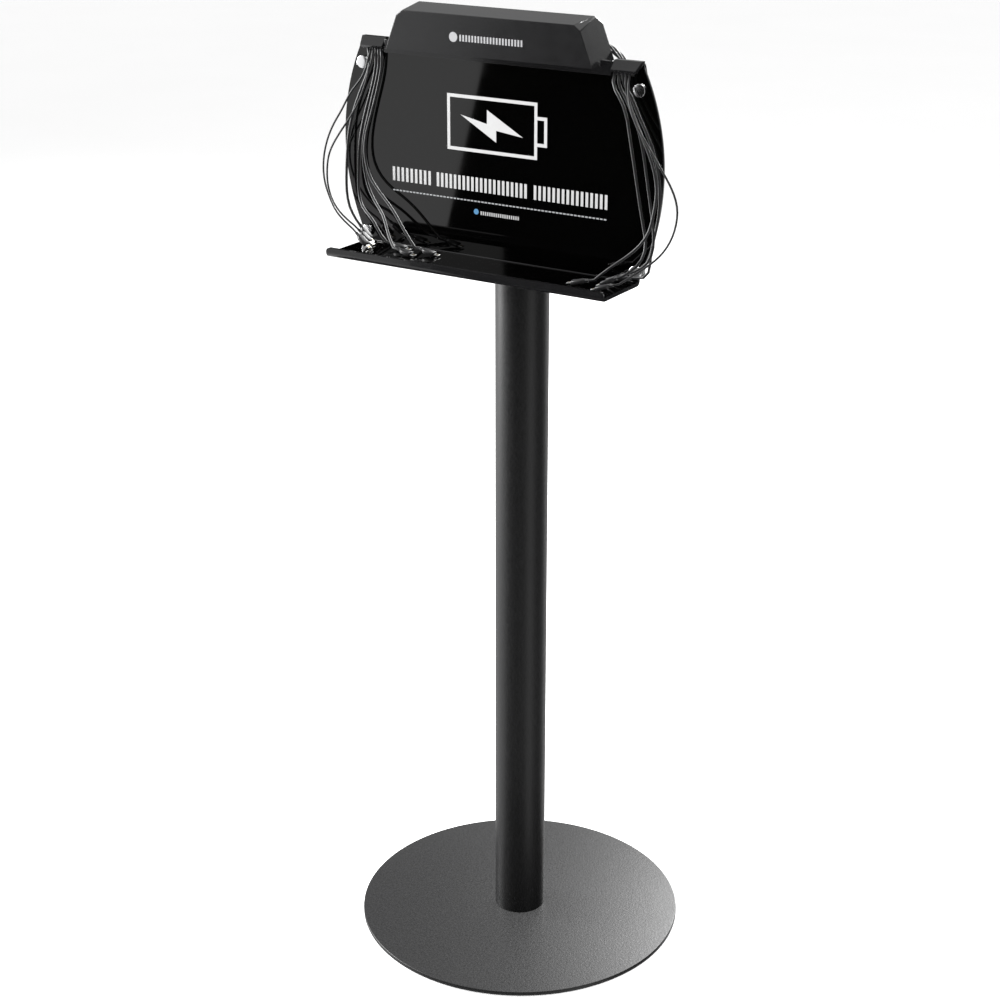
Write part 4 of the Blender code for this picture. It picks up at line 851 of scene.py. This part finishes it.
@dataclass
class Connector:
    """A phone connector: a ribbed strain relief, a moulded body, and a metal tongue with contacts.

    Attributes:
        name: The name of its lead.
        lead: The lead's diameter.
        pose: X and Y of its tail in millimetres, its heading and its dip in degrees.
        shelf: Height of the shelf's top.
        relief: Length of the strain relief.
        body: Length, width and height of the body.
        tongue: Length, width and height of the tongue.
        clearance: Of the connector over the shelf, and of the lead's end from it.
    """

    name: str
    lead: float
    pose: tuple[float, float, float, float]
    shelf: float
    relief: float = 7.0 * MM
    body: Triple = (15.5 * MM, 10.5 * MM, 5.6 * MM)
    tongue: Triple = (6.7 * MM, 6.7 * MM, 1.6 * MM)
    clearance: float = 0.3 * MM

    @property
    def direction(self) -> Vector:
        """The way the connector points."""
        turn, drop = math.radians(self.pose[2]), math.radians(self.pose[3])
        level = math.cos(drop)
        return Vector((math.cos(turn) * level, math.sin(turn) * level, -math.sin(drop)))

    @property
    def tail(self) -> Vector:
        """Where the connector's strain relief starts."""
        drop = math.radians(self.pose[3])
        reach = self.relief + self.body[0]
        body = reach * math.sin(drop) + self.body[2] / 2 * math.cos(drop)
        tongue = (reach + self.tongue[0]) * math.sin(drop) + self.tongue[2] / 2 * math.cos(drop)
        return Vector((self.pose[0] * MM, self.pose[1] * MM, self.shelf + self.clearance + max(body, tongue)))

    @property
    def place(self) -> Matrix:
        """Its own X along its direction, from its tail."""
        along = self.direction
        across = Vector((-along.y, along.x, 0)).normalized()
        up = along.cross(across)
        place = Matrix((along, across, up)).transposed().to_4x4()
        place.translation = self.tail
        return place

    def moulding(self) -> Object:
        """Makes the body, waisted towards the tail, with a grip dish on top and bottom."""
        length, width, height = self.body
        radius = self.lead / 2 + 0.55 * MM
        stations = (
            (self.relief - 2.2 * MM, radius * 2, radius * 2),
            (self.relief - 0.6 * MM, width * 0.66, height * 0.9),
            (self.relief + 1.2 * MM, width * 0.9, height * 0.98),
            (self.relief + 3.2 * MM, width, height),
            (self.relief + length * 0.5, width, height * 0.93),
            (self.relief + length - 0.7 * MM, width, height),
            (self.relief + length, width - 1.2 * MM, height - 1.2 * MM),
        )
        bm = bmesh.new()
        sides = 32
        rings = []
        for x, wide, high in stations:
            ring = []
            for i in range(sides):
                turn = 2 * math.pi * i / sides
                power = 0.55
                y = wide / 2 * math.copysign(abs(math.cos(turn)) ** power, math.cos(turn))
                z = high / 2 * math.copysign(abs(math.sin(turn)) ** power, math.sin(turn))
                ring.append(bm.verts.new((x, y, z)))
            rings.append(ring)
        for low, high_ring in zip(rings, rings[1:]):
            for i in range(sides):
                j = (i + 1) % sides
                bm.faces.new((low[i], low[j], high_ring[j], high_ring[i]))
        bm.faces.new(rings[0])
        bm.faces.new(rings[-1])
        return from_bmesh(f"connector_{self.name}_body", bm, 50.0)

    def build(self, finishes: Finishes, rows: Rows) -> list[Object]:
        """Makes the connector's pieces where they lie.

        Args:
            finishes: The kiosk's finishes.
            rows: The row maker.

        Returns:
            The pieces.
        """
        node = f"connector_{self.name}"
        body = self.moulding()
        radius = self.lead / 2
        wall = 0.5 * MM
        core = lathe(
            f"{node}_relief",
            [
                (0, 0), (radius + wall, 0), (radius + wall, 0.6 * MM), (radius + wall * 0.6, 0.9 * MM),
                (radius + wall * 0.9, self.relief - 1.4 * MM), (0, self.relief - 1.4 * MM),
            ],
            Matrix.Rotation(math.pi / 2, 4, "Y"), sides=24,
        )
        ribs = rows.row(
            f"{node}_ribs", 3, (1.5 * MM, 0, 0), (1.3 * MM, 0, 0), (radius + wall * 0.8, 0.36 * MM, 0),
            finishes.material(finishes.plastic), True,
        )
        start = self.relief + self.body[0]
        end = start + self.tongue[0]
        half, thick = self.tongue[1] / 2, self.tongue[2] / 2
        tongue = block(f"{node}_tongue", (start + 0.05 * MM, -half, -thick), (end, half, thick))
        ease(tongue, 0.6 * MM, 3)
        contacts = rows.row(
            f"{node}_contacts", 5, (end - 2.6 * MM, -half * 0.62, thick), (0, half * 0.31, 0),
            (2.6 * MM, 0.55 * MM, 0.08 * MM), finishes.material(finishes.contact),
        )
        pieces = {
            body: finishes.plastic, core: finishes.plastic, ribs: finishes.plastic, tongue: finishes.zinc,
            contacts: finishes.contact,
        }
        for piece, finish in pieces.items():
            piece.data.transform(self.place)
            finishes.fit(piece, finish, [node] if piece is body else [])
        return list(pieces)


@dataclass
class Lead:
    """One charging lead from its bushing down to its connector on the shelf.

    Attributes:
        name: Its side and number.
        diameter: Its real diameter.
        exit_x: X of its exit in millimetres.
        route: The points that it passes, in millimetres.
        pose: X and Y of its connector's tail in millimetres, its heading and its dip in degrees.
        exit_y: Y of the exits.
        exit_z: Height of the exits.
        nose: How far it leaves its exit straight.
        straight: How far it runs straight into its connector.
        step: Diameters from one point to the next.
    """

    name: str
    diameter: float
    exit_x: float
    route: list[Triple]
    pose: tuple[float, float, float, float]
    exit_y: float = -65.8 * MM
    exit_z: float = 1234.0 * MM
    nose: float = 2.6 * MM
    straight: float = 7.0 * MM
    step: float = 2.8

    def build(self, finishes: Finishes, rows: Rows, shelf: float) -> None:
        """Args:
            finishes: The kiosk's finishes.
            rows: The row maker.
            shelf: Height of the shelf's top.
        """
        connector = Connector(self.name, self.diameter, self.pose, shelf)
        pieces = connector.build(finishes, rows)
        first = Vector((self.exit_x * MM, self.exit_y, self.exit_z))
        second = first + Vector((0, -self.nose, 0))
        last = connector.tail - connector.direction * connector.clearance
        before = last - connector.direction * self.straight
        middle = [Vector(point) * MM for point in self.route]
        points = [first, *smooth_route([second, *middle, before], self.diameter * self.step), last]
        lead = cable(f"lead_{self.name}_jacket", [points], self.diameter)
        finishes.fit(lead, finishes.jacket, [f"lead_{self.name}"])


ROUND = 3.6 * MM
THIN = 2.6 * MM

LEADS = [
    Lead("left_1", THIN, -184, [
        (-185, -73, 1222), (-189, -79, 1203), (-206, -83, 1180), (-219, -85, 1158), (-231, -87, 1139),
        (-243, -89, 1112), (-247.5, -91, 1083), (-244, -93, 1061), (-236, -95, 1044), (-224, -98, 1028),
    ], (-191, -100, -6, 36)),
    Lead("left_2", THIN, -180, [
        (-180, -72, 1222), (-184, -75, 1204), (-199, -78, 1166), (-218, -80, 1138), (-233, -82, 1117),
        (-244, -83, 1096), (-247, -84, 1076), (-246, -84, 1055), (-239, -85, 1038), (-227, -86, 1024),
    ], (-197, -87, 4, 38)),
    Lead("left_3", ROUND, -188, [
        (-186.5, -68, 1222), (-188, -67, 1211), (-194, -66, 1198), (-209, -66, 1167), (-218, -68, 1140),
        (-222, -70, 1116), (-224, -71, 1092), (-225, -72, 1067), (-224, -73, 1046), (-219, -74, 1028),
    ], (-203, -75, 0, 46)),
    Lead("left_4", ROUND, -176, [
        (-177, -67, 1222), (-180, -65.5, 1207), (-189, -65.5, 1176), (-199, -66, 1145), (-206, -66, 1116),
        (-209, -66, 1085), (-208, -69, 1053), (-202, -73, 1037), (-190, -79, 1027), (-176, -84, 1019),
        (-163, -86, 1003),
    ], (-146, -86, 4, 10)),
    Lead("left_5", ROUND, -172, [
        (-172.5, -67, 1222), (-175, -66, 1207), (-184, -66, 1176), (-193, -66, 1146), (-200.5, -66, 1117),
        (-201, -66, 1086), (-195, -68, 1063), (-186, -71, 1048), (-174, -76, 1037), (-158, -84, 1024),
        (-145, -94, 1008),
    ], (-123, -104, -6, 8)),
    Lead("left_6", ROUND, -168, [
        (-168, -67, 1222), (-170, -67, 1207), (-178.5, -67, 1176), (-188, -68, 1146), (-195, -70, 1117),
        (-194, -71, 1091), (-186, -73, 1072), (-171, -76, 1056), (-155, -80, 1044), (-137, -85, 1028),
        (-120, -89, 1009),
    ], (-98, -91, 3, 10)),
    Lead("right_1", ROUND, 168, [
        (168, -72, 1226), (173, -76, 1217), (183, -78, 1204), (190, -78, 1188), (194, -77, 1167),
        (199, -76, 1139), (204, -75, 1110), (210, -75, 1080), (216, -76, 1055), (221, -80, 1037),
        (220, -89, 1020),
    ], (195, -100, 185, 24)),
    Lead("right_2", ROUND, 173, [
        (175, -71, 1224), (184.5, -71, 1207), (194.5, -71, 1188), (203, -71, 1170), (210, -72, 1147),
        (218, -73, 1108), (223, -73.5, 1082), (228, -75, 1056), (230, -78, 1034), (225, -82, 1017),
    ], (194, -86, 176, 24)),
    Lead("right_3", ROUND, 183, [
        (184, -70, 1222), (190, -73, 1204), (200, -75, 1184), (212, -77, 1163), (224, -79, 1141),
        (232, -80, 1117), (234, -81, 1098), (232, -83, 1077), (228, -87, 1055), (217, -92, 1037),
        (201, -98, 1022), (186, -104, 1010),
    ], (162, -111, 186, 12)),
    Lead("right_4", THIN, 188, [
        (188.5, -72, 1222), (193, -78, 1206), (205, -83, 1182), (221, -85, 1160), (242, -86, 1132),
        (258, -87, 1109), (265.5, -88, 1089), (265, -89, 1069), (258, -91, 1047), (247, -95, 1030),
        (231, -103, 1015),
    ], (200, -119, 190, 16)),
    Lead("right_5", ROUND, 178, [
        (180, -67.5, 1223), (187, -66, 1212), (196, -65, 1194), (208, -65, 1172), (219, -65.5, 1150),
        (228, -66, 1121), (231, -66, 1092), (229, -67, 1061), (225, -69, 1037), (224, -72, 1020),
        (224.5, -75, 1008), (221, -76, 999),
    ], (200, -74, 180, 12)),
]


@dataclass
class LeadSet:
    """All charging leads, and the twisted bundle of them behind each end of the hood.

    Attributes:
        shelf: Height of the shelf's top.
        bundle: Outer diameter of a bundle.
        twist: Turns of a bundle for each metre.
        knots: The bundle's route on the right, in millimetres.
        step: The distance between a strand's points.
    """

    shelf: float
    bundle: float = 8.0 * MM
    twist: float = 9.0
    knots: tuple[Triple, ...] = (
        (95.3, -61, 1255), (102, -61, 1255), (110, -56, 1257.5), (117, -46, 1259.5), (122, -36, 1260),
        (128, -27, 1259),
        (137, -23, 1254.5), (146, -25.5, 1250.5), (157, -31, 1245.5), (167, -36, 1239.5),
        (174, -38.5, 1236),
        (178, -41.5, 1234.8), (178, -45.1, 1234.8),
    )
    step: float = 2.0 * MM

    def strands(self, side: Side, count: int) -> list[list[Vector]]:
        """The routes of a bundle's strands.

        Args:
            side: The side of the head.
            count: How many leads it carries.

        Returns:
            One list of points for each strand.
        """
        route = [tuple(value * MM for value in point) for point in self.knots]
        middle = [Vector(point) for point in smooth_route(route, self.step)]
        reach = self.bundle / 3
        up = Vector((0, 0, 1))
        run = 0.0
        out: list[list[Vector]] = [[] for _ in range(count)]
        for i, point in enumerate(middle):
            ahead, behind = middle[min(i + 1, len(middle) - 1)], middle[max(i - 1, 0)]
            along = (ahead - behind).normalized()
            across = up.cross(along).normalized()
            rise = along.cross(across)
            run += (point - behind).length
            for k in range(count):
                turn = 2 * math.pi * (k / count + self.twist * run)
                place = point + reach * (math.cos(turn) * across + math.sin(turn) * rise)
                out[k].append(Vector((side.value * place.x, place.y, place.z)))
        return out

    def build(self, finishes: Finishes, rows: Rows) -> None:
        """Makes every lead and both bundles.

        Args:
            finishes: The kiosk's finishes.
            rows: The row maker.
        """
        for lead in LEADS:
            lead.build(finishes, rows, self.shelf)
        for side, count in ((Side.LEFT, 6), (Side.RIGHT, 5)):
            name = f"lead_bundle_{side.word}"
            bundle = settle_curve(cable(name, self.strands(side, count), self.bundle / 3))
            finishes.fit(bundle, finishes.jacket, [f"lead_sleeve_{side.word}"])


def settle_curve(obj: Object) -> Object:
    """Turns a curve with several runs into a mesh of the same name."""
    name = obj.name
    graph = bpy.context.evaluated_depsgraph_get()
    mesh = bpy.data.meshes.new_from_object(obj.evaluated_get(graph))
    bpy.data.objects.remove(obj)
    mesh.shade_smooth()
    return link(name, mesh)


# Stand


@dataclass
class Stand:
    """The powder-coated disc and pole, their pads, bolt, insert, cap and grommet.

    Attributes:
        edge: Rounding of the disc's edge.
        bore: Radius of the pole's bore.
        bolt_hole: Radius of the holes for the mount bolts.
        grommet: Radius and height of the hole for the grommet.
        saddle_heights: Heights of the mount bolts.
        base_bolt: Shank and head radius of the disc's countersunk hole, and the sink's depth.
    """

    saddle_heights: Pair
    edge: float = 1.2 * MM
    bore: float = 33.0 * MM
    bolt_hole: float = 4.3 * MM
    grommet: Pair = (8.0 * MM, 60.0 * MM)
    base_bolt: Triple = (6.3 * MM, 11.9 * MM, 4.7 * MM)

    def disc(self, finishes: Finishes) -> None:
        """Makes the disc."""
        low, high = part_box("base_plate")
        radius, bottom, top = high[0], low[2], high[2]
        shank, head, sink = self.base_bolt
        profile = [(shank, top)]
        profile += rounded((radius - self.edge, top - self.edge), self.edge, 90)
        profile += rounded((radius - self.edge, bottom + self.edge), self.edge, 0)
        profile += [(head, bottom), (shank, bottom + sink)]
        disc = lathe("base_disc", profile, Matrix(), sides=288, closed=True)
        finishes.fit(disc, finishes.powder, ["base_plate"])

    def pole(self, finishes: Finishes) -> None:
        """Makes the drilled pole."""
        low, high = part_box("pole_tube")
        radius, bottom, top = high[0], low[2], high[2]
        ease_by = 0.4 * MM
        profile = [
            (self.bore, top), (radius - ease_by, top), (radius, top - ease_by),
            (radius, bottom + ease_by), (radius - ease_by, bottom), (self.bore, bottom),
        ]
        pole = lathe("pole", profile, Matrix(), sides=192, closed=True)
        reach = radius + 10 * MM
        cutters = [
            drill(f"drill_{i}", 0, z, self.bolt_hole, -reach, reach)
            for i, z in enumerate(self.saddle_heights)
        ]
        cutters.append(drill("drill_grommet", 0, self.grommet[1], self.grommet[0], 10 * MM, reach))
        cut(pole, cutters)
        shade(pole.data, SMOOTH_ANGLE)
        finishes.fit(pole, finishes.powder, ["pole_tube"])

    def build(self, finishes: Finishes) -> None:
        """Makes the disc and the pole and dresses what is on them."""
        self.disc(finishes)
        self.pole(finishes)
        for word in ("front_left", "front_right", "rear_left", "rear_right"):
            finishes.refit(f"base_pad_{word}", f"pad_{word}", finishes.rubber, 0.4 * MM)
        finishes.dress("base_bolt", finishes.zinc)
        finishes.dress("pole_foot_insert", finishes.zinc)
        finishes.refit("pole_cap", "pole_end_cap", finishes.plastic, 0.5 * MM)
        finishes.refit("cord_grommet", "cable_grommet", finishes.rubber, 0.5 * MM)


# Panel


@dataclass
class Sheet:
    """The bent acrylic sheet: a bowed panel, a shelf and a lip.

    Attributes:
        thickness: Of the sheet.
        shelf_top: Height of the shelf's top.
        half_width: Half the shelf's length.
        bulge: Of the panel's sides past the shelf's ends.
        bow_radius: Radius of the bowed sides.
        bow_height: Of the widest place above the shelf.
        lip_corner: Radius of the lip's upper corners.
        bend: Inner radius of the bends.
        notch: Inner and outer X of the lead notches, and their depth under the panel's top.
        crest: Half the length of the lowered stretch of the top edge, and its drop.
        stud_hole: Radius of the holes for the standoffs' studs.
        lip_rise: Of the lip's top over the shelf's.
        polish: Rounding of the polished edges.
    """

    thickness: float = 5.0 * MM
    shelf_top: float = 985.4 * MM
    half_width: float = 202.5 * MM
    bulge: float = 29.5 * MM
    bow_radius: float = 280.0 * MM
    bow_height: float = 130.6 * MM
    lip_corner: float = 5.0 * MM
    bend: float = 1.5 * MM
    notch: Triple = (165.4 * MM, 190.6 * MM, 11.1 * MM)
    crest: Pair = (164.3 * MM, 2.8 * MM)
    stud_hole: float = 2.8 * MM
    lip_rise: float = 7.6 * MM
    polish: float = 0.35 * MM

    def half(self, z: float) -> float:
        """Half the panel's width at a height."""
        rise = min(abs(z - self.shelf_top - self.bow_height), self.bow_radius)
        sag = self.bow_radius - math.sqrt(self.bow_radius**2 - rise**2)
        return self.half_width + max(0.0, self.bulge - sag)

    def profile(self, back: float, top: float, lip_front: float) -> list[Triple]:
        """Y, height and half width down the sheet's outer side.

        Args:
            back: Y of the panel's back.
            top: Height of the panel's top.
            lip_front: Y of the lip's face.

        Returns:
            The rows from the panel's top to the lip's top.
        """
        outer = self.bend + self.thickness
        under = self.shelf_top - self.thickness
        knee, toe = (back - outer, under + outer), (lip_front + outer, under + outer)
        steps = 90
        rows = []
        for i in range(steps + 1):
            z = top + (knee[1] - top) * i / steps
            rows.append((back, z, self.half(z)))
        rows += [(y, z, self.half_width) for y, z in rounded(knee, outer, 0, 8)[1:]]
        rows += [(y, z, self.half_width) for y, z in rounded(toe, outer, -90, 8)]
        corner = (self.half_width - self.lip_corner, self.shelf_top + self.lip_rise - self.lip_corner)
        for x, z in reversed(rounded(corner, self.lip_corner, 90, 8)):
            if z > rows[-1][1] + 0.1 * MM:
                rows.append((lip_front, z, x))
        return rows

    def build(self, finishes: Finishes) -> None:
        """Bends, drills and notches the sheet."""
        low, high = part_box("front_panel")
        top, back, lip_front = high[2], high[1], low[1]
        front = back - self.thickness
        bm = bmesh.new()
        last = None
        for y, z, half in self.profile(back, top, lip_front):
            row = [bm.verts.new((x, y, z)) for x in (-half, 0.0, half)]
            if last is not None:
                for i in range(2):
                    bm.faces.new((last[i], last[i + 1], row[i + 1], row[i]))
            last = row
        mesh = bpy.data.meshes.new("panel_and_shelf")
        bm.to_mesh(mesh)
        bm.free()
        sheet = link("panel_and_shelf", mesh)
        work = sheet.modifiers.new("sheet", "SOLIDIFY")
        work.thickness = self.thickness
        work.use_even_offset = True
        work.offset = -1.0 if mesh.polygons[0].normal.y > 0 else 1.0
        settle(sheet, None)
        near, far, over = front - PAST, back + PAST, top + PAST
        half, drop = self.crest
        cutters = [block("cut_crest", (-half, near, top - drop), (half, far, over))]
        for side in Side:
            inner, outer = sorted((side.value * self.notch[0], side.value * self.notch[1]))
            low_corner, high_corner = (inner, near, top - self.notch[2]), (outer, far, over)
            cutters.append(block(f"cut_notch_{side.word}", low_corner, high_corner))
            for level in ("upper", "lower"):
                x, _, z = centre(f"standoff_cap_{level}_{side.word}")
                cutters.append(drill(f"cut_{level}_{side.word}", x, z, self.stud_hole, near, far))
        cut(sheet, cutters)
        bm = bmesh.new()
        bm.from_mesh(sheet.data)
        clean(bm, 0.1)
        bmesh.ops.recalc_face_normals(bm, faces=bm.faces)
        bm.to_mesh(sheet.data)
        bm.free()
        ease(sheet, self.polish, 2, 40)
        sheet.data.materials.append(finishes.material(finishes.bare))
        sheet.data.materials.append(finishes.material(finishes.gloss))
        for face in sheet.data.polygons:
            on_panel = abs(face.center.y - front) < 0.1 * MM and face.center.z > self.shelf_top
            on_shelf = abs(face.center.z - self.shelf_top) < 0.1 * MM
            face.material_index = int(on_panel or on_shelf)
        finishes.fit(sheet, finishes.gloss, ["front_panel"])


@dataclass
class Print:
    """The printed marks: a battery sign, three words' worth of bars, a line of dashes, and plain marks.

    Attributes:
        face: Y of the panel's face.
        proud: Height of the ink's face.
        gap: Height of its back, so that it doesn't lie in the face.
        stroke: Width of the sign's line.
        frame: Left, right, bottom and top of the battery.
        terminal: Right, bottom and top of its terminal.
        words: Left and right ends of the groups of bars.
        word_height: The bars' middle height and their height.
        word_pitch: From one bar to the next, and a bar's width.
    """

    face: float
    proud: float = 0.08 * MM
    gap: float = 0.01 * MM
    stroke: float = 4.2 * MM
    frame: tuple[float, float, float, float] = (-73 * MM, 58.5 * MM, 1118.5 * MM, 1188.4 * MM)
    terminal: Triple = (72.5 * MM, 1134.9 * MM, 1171.5 * MM)
    words: tuple[Pair, ...] = ((-0.158, -0.099), (-0.090, 0.044), (0.054, 0.158))
    word_height: Pair = (1078.0 * MM, 18.0 * MM)
    word_pitch: Pair = (6.6 * MM, 3.7 * MM)

    def plate(self, name: str, outline: Sequence[Pair], face: float) -> Object:
        """A flat print of an outline on a face."""
        return slab(name, outline, face - self.proud, face - self.gap)

    def battery(self, finishes: Finishes) -> None:
        """Prints the battery's outline, its terminal and the bolt in it."""
        left, right, bottom, top = self.frame
        line = self.stroke
        near, far = self.face - PAST, self.face + PAST
        ink, seat = self.face - self.proud, self.face - self.gap
        sign = block("battery_sign", (left, ink, bottom), (right, seat, top))
        cut(sign, [block("cut_inner", (left + line, near, bottom + line), (right - line, far, top - line))])
        finishes.fit(sign, finishes.white_ink)
        end, low, high = self.terminal
        start = right + 0.02 * MM
        bracket = [
            (start, low), (end, low), (end, high), (start, high), (start, high - line),
            (end - line, high - line), (end - line, low + line), (start, low + line),
        ]
        finishes.fit(self.plate("battery_terminal", bracket, self.face), finishes.white_ink)
        bolt = [
            (-0.0532, 1.1635), (-0.0143, 1.1554), (-0.0142, 1.1727), (0.0380, 1.1437),
            (-0.0007, 1.1484), (-0.0007, 1.1337),
        ]
        finishes.fit(self.plate("battery_bolt", bolt, self.face), finishes.white_ink)

    def bars(
        self, name: str, span: Pair, middle: float, height: float,
        pitch: Pair, face: float, finish: Finish, finishes: Finishes, rows: Rows,
    ) -> None:
        """Prints a row of upright bars or dashes.

        Args:
            name: The row's name.
            span: Its left and right ends.
            middle: Its middle height.
            height: A bar's height.
            pitch: From one bar to the next, and a bar's width.
            face: Y of the face that it is printed on.
            finish: The ink.
            finishes: The kiosk's finishes.
            rows: The row maker.
        """
        count = int(round((span[1] - span[0] - pitch[1]) / pitch[0])) + 1
        step = (span[1] - span[0] - pitch[1]) / max(count - 1, 1)
        deep = self.proud - self.gap
        row = rows.row(
            name, count, (span[0] + pitch[1] / 2, face - self.gap - deep / 2, middle), (step, 0, 0),
            (pitch[1], deep, height), finishes.material(finish),
        )
        finishes.fit(row, finish)

    def dot(self, name: str, place: Triple, radius: float) -> Object:
        """A round dot on a face."""
        x, face, z = place
        return drill(name, x, z, radius, face - self.proud, face - self.gap)

    def build(self, finishes: Finishes, rows: Rows) -> None:
        """Prints everything on the panel and the hood.

        Args:
            finishes: The kiosk's finishes.
            rows: The row maker.
        """
        self.battery(finishes)
        for i, span in enumerate(self.words, 1):
            self.bars(
                f"headline_bars_{i}", span, *self.word_height, self.word_pitch, self.face,
                finishes.white_ink, finishes, rows,
            )
        self.bars(
            "small_dashes", (-0.158, 0.157), 1.0567, 1.7 * MM, (5.2 * MM, 3.7 * MM), self.face,
            finishes.grey_ink, finishes, rows,
        )
        finishes.fit(self.dot("small_dot", (-0.0305, self.face, 1.0435), 3.6 * MM), finishes.blue_ink)
        self.bars(
            "small_bars", (-0.0240, 0.0325), 1.0425, 4.6 * MM, (3.3 * MM, 1.8 * MM), self.face,
            finishes.white_ink, finishes, rows,
        )
        hood_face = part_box("hood_cover")[0][1]
        finishes.fit(self.dot("hood_dot", (-0.0466, hood_face, 1.2618), 6.0 * MM), finishes.silver_ink)
        self.bars(
            "hood_bars", (-0.0375, 0.0520), 1.2613, 7.8 * MM, (4.3 * MM, 2.4 * MM), hood_face,
            finishes.silver_ink, finishes, rows,
        )


@dataclass
class Head:
    """What holds the sheet: back plate, saddles, bolts, nuts, standoffs, guards and bushings.

    Attributes:
        fold: Rounding of sheet steel edges.
        polish: Rounding of acrylic edges.
        cap_radius: Radius of a standoff cap.
        cap_ease: Rounding of its rim.
        cap_height: Of the cap over its seat.
        stud: Radius of its stud.
        dome: Rise of its face in the middle.
    """

    fold: float = 0.35 * MM
    polish: float = 0.4 * MM
    cap_radius: float = 8.0 * MM
    cap_ease: float = 0.9 * MM
    cap_height: float = 5.0 * MM
    stud: float = 2.5 * MM
    dome: float = 0.35 * MM

    def cap(self, level: str, side: Side, finishes: Finishes) -> None:
        """Makes a standoff cap with its stud.

        Args:
            level: Upper or lower.
            side: The side of the head.
            finishes: The kiosk's finishes.
        """
        node = f"standoff_cap_{level}_{side.word}"
        low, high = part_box(node)
        x, _, z = centre(node)
        face, end = -low[1], -high[1]
        seat = face - self.cap_height
        radius, stud = self.cap_radius, self.stud
        shares = (0.0, 0.15, 0.3, 0.45, 0.6, 0.75)
        profile = [(radius * share, face - self.dome * share**2) for share in shares]
        profile += rounded((radius - self.cap_ease, face - self.dome - self.cap_ease), self.cap_ease, 90, 6)
        profile += [
            (radius, seat + 0.2 * MM), (radius - 0.2 * MM, seat), (stud, seat), (stud, end + 0.3 * MM),
            (stud - 0.3 * MM, end), (0, end),
        ]
        place = Matrix.Translation((x, 0, z)) @ Matrix.Rotation(math.pi / 2, 4, "X")
        finishes.fit(lathe(f"cap_{level}_{side.word}", profile, place, 64), finishes.chrome, [node])

    def build(self, finishes: Finishes) -> None:
        """Makes and dresses the head's hardware."""
        for level in ("upper", "lower"):
            for side in Side:
                self.cap(level, side, finishes)
            for word, finish, width in (
                ("saddle", finishes.satin, 0.8 * MM), ("mount_bolt", finishes.zinc, 0.3 * MM),
                ("mount_nut", finishes.zinc, 0.5 * MM),
            ):
                finishes.refit(f"{word}_{level}", f"{word}_{level}_finished", finish, width)
        finishes.refit("back_plate", "steel_plate", finishes.satin, self.fold)
        for side in Side:
            for word, finish, width in (
                ("spacer", finishes.zinc, 0.3 * MM), ("exit_guard", finishes.bare, self.polish),
                ("exit_bushing", finishes.rubber, 0.3 * MM),
            ):
                finishes.refit(f"{word}_{side.word}", f"{word}_{side.word}_finished", finish, width)


# Hood


@dataclass
class Hood:
    """The hood, the bar under it, the tray, the charger, the mains inlet and its rocker.

    Attributes:
        fold: Rounding of folded steel edges.
        socket: How far the mains socket's middle lies left of the inlet's.
        pins: Distance between the pins, and half the difference of their heights.
    """

    fold: float = 0.35 * MM
    socket: float = 13.0 * MM
    pins: Pair = (7.0 * MM, 2.0 * MM)

    def inlet(self, finishes: Finishes) -> None:
        """Makes the mains inlet with brass pins."""
        inlet = refined("mains_inlet", "mains_inlet_socket", 0.25 * MM)
        low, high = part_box("mains_inlet")
        middle = centre("mains_inlet")
        inlet.data.materials.append(finishes.material(finishes.plastic))
        inlet.data.materials.append(finishes.material(finishes.contact))
        pitch, rise = self.pins
        for face in inlet.data.polygons:
            place = face.center
            inside = low[1] + 4.2 * MM < place.y < high[1] - 0.5 * MM
            for i in (-1, 0, 1):
                near_x = abs(place.x - middle[0] + self.socket - i * pitch) < 1.1 * MM
                near_z = abs(place.z - middle[2] - (rise if i == 0 else -rise)) < 2.1 * MM
                if inside and near_x and near_z:
                    face.material_index = 1
        finishes.fit(inlet, finishes.plastic, ["mains_inlet"])

    def build(self, finishes: Finishes) -> None:
        """Makes and dresses the hood and what is in it."""
        finishes.fit(refined("hood_cover", "hood", 0.0, 50.0), finishes.satin, ["hood_cover"])
        finishes.refit("hood_bar", "hood_seat_bar", finishes.bare, 0.4 * MM)
        finishes.refit("hood_tray", "tray", finishes.satin, self.fold)
        finishes.refit("charger", "charger_case", finishes.plastic, 0.3 * MM)
        self.inlet(finishes)
        finishes.refit("power_rocker", "mains_rocker", finishes.plastic, 0.2 * MM, ROCKER)
        for side in Side:
            self.screw(side, finishes)

    def screw(self, side: Side, finishes: Finishes) -> None:
        """Makes a cross-headed screw at the hood's rear.

        Args:
            side: The side of the head.
            finishes: The kiosk's finishes.
        """
        node = f"hood_screw_{side.word}"
        x, _, z = centre(node)
        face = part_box(node)[1][1]
        screw = refined(node, f"{node}_crossed", 0.15 * MM)
        for i, (half_x, half_z) in enumerate(((1.5 * MM, 0.3 * MM), (0.3 * MM, 1.5 * MM))):
            low, high = (x - half_x, face - 1 * MM, z - half_z), (x + half_x, face + 1 * MM, z + half_z)
            cut(screw, [block(f"slot_{i}", low, high)])
        shade(screw.data, 30.0)
        finishes.fit(screw, finishes.zinc, [node])


def main() -> None:
    """Builds the kiosk's looks."""
    logging.basicConfig(level=logging.INFO, format="%(name)s: %(message)s")
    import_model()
    finishes = Finishes()
    rows = Rows()
    Studio().build()
    sheet = Sheet()
    LeadSet(sheet.shelf_top).build(finishes, rows)
    Stand((centre("saddle_upper")[2], centre("saddle_lower")[2])).build(finishes)
    sheet.build(finishes)
    Print(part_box("front_panel")[1][1] - sheet.thickness).build(finishes, rows)
    Head().build(finishes)
    Hood().build(finishes)


if __name__ == "__main__":
    main()
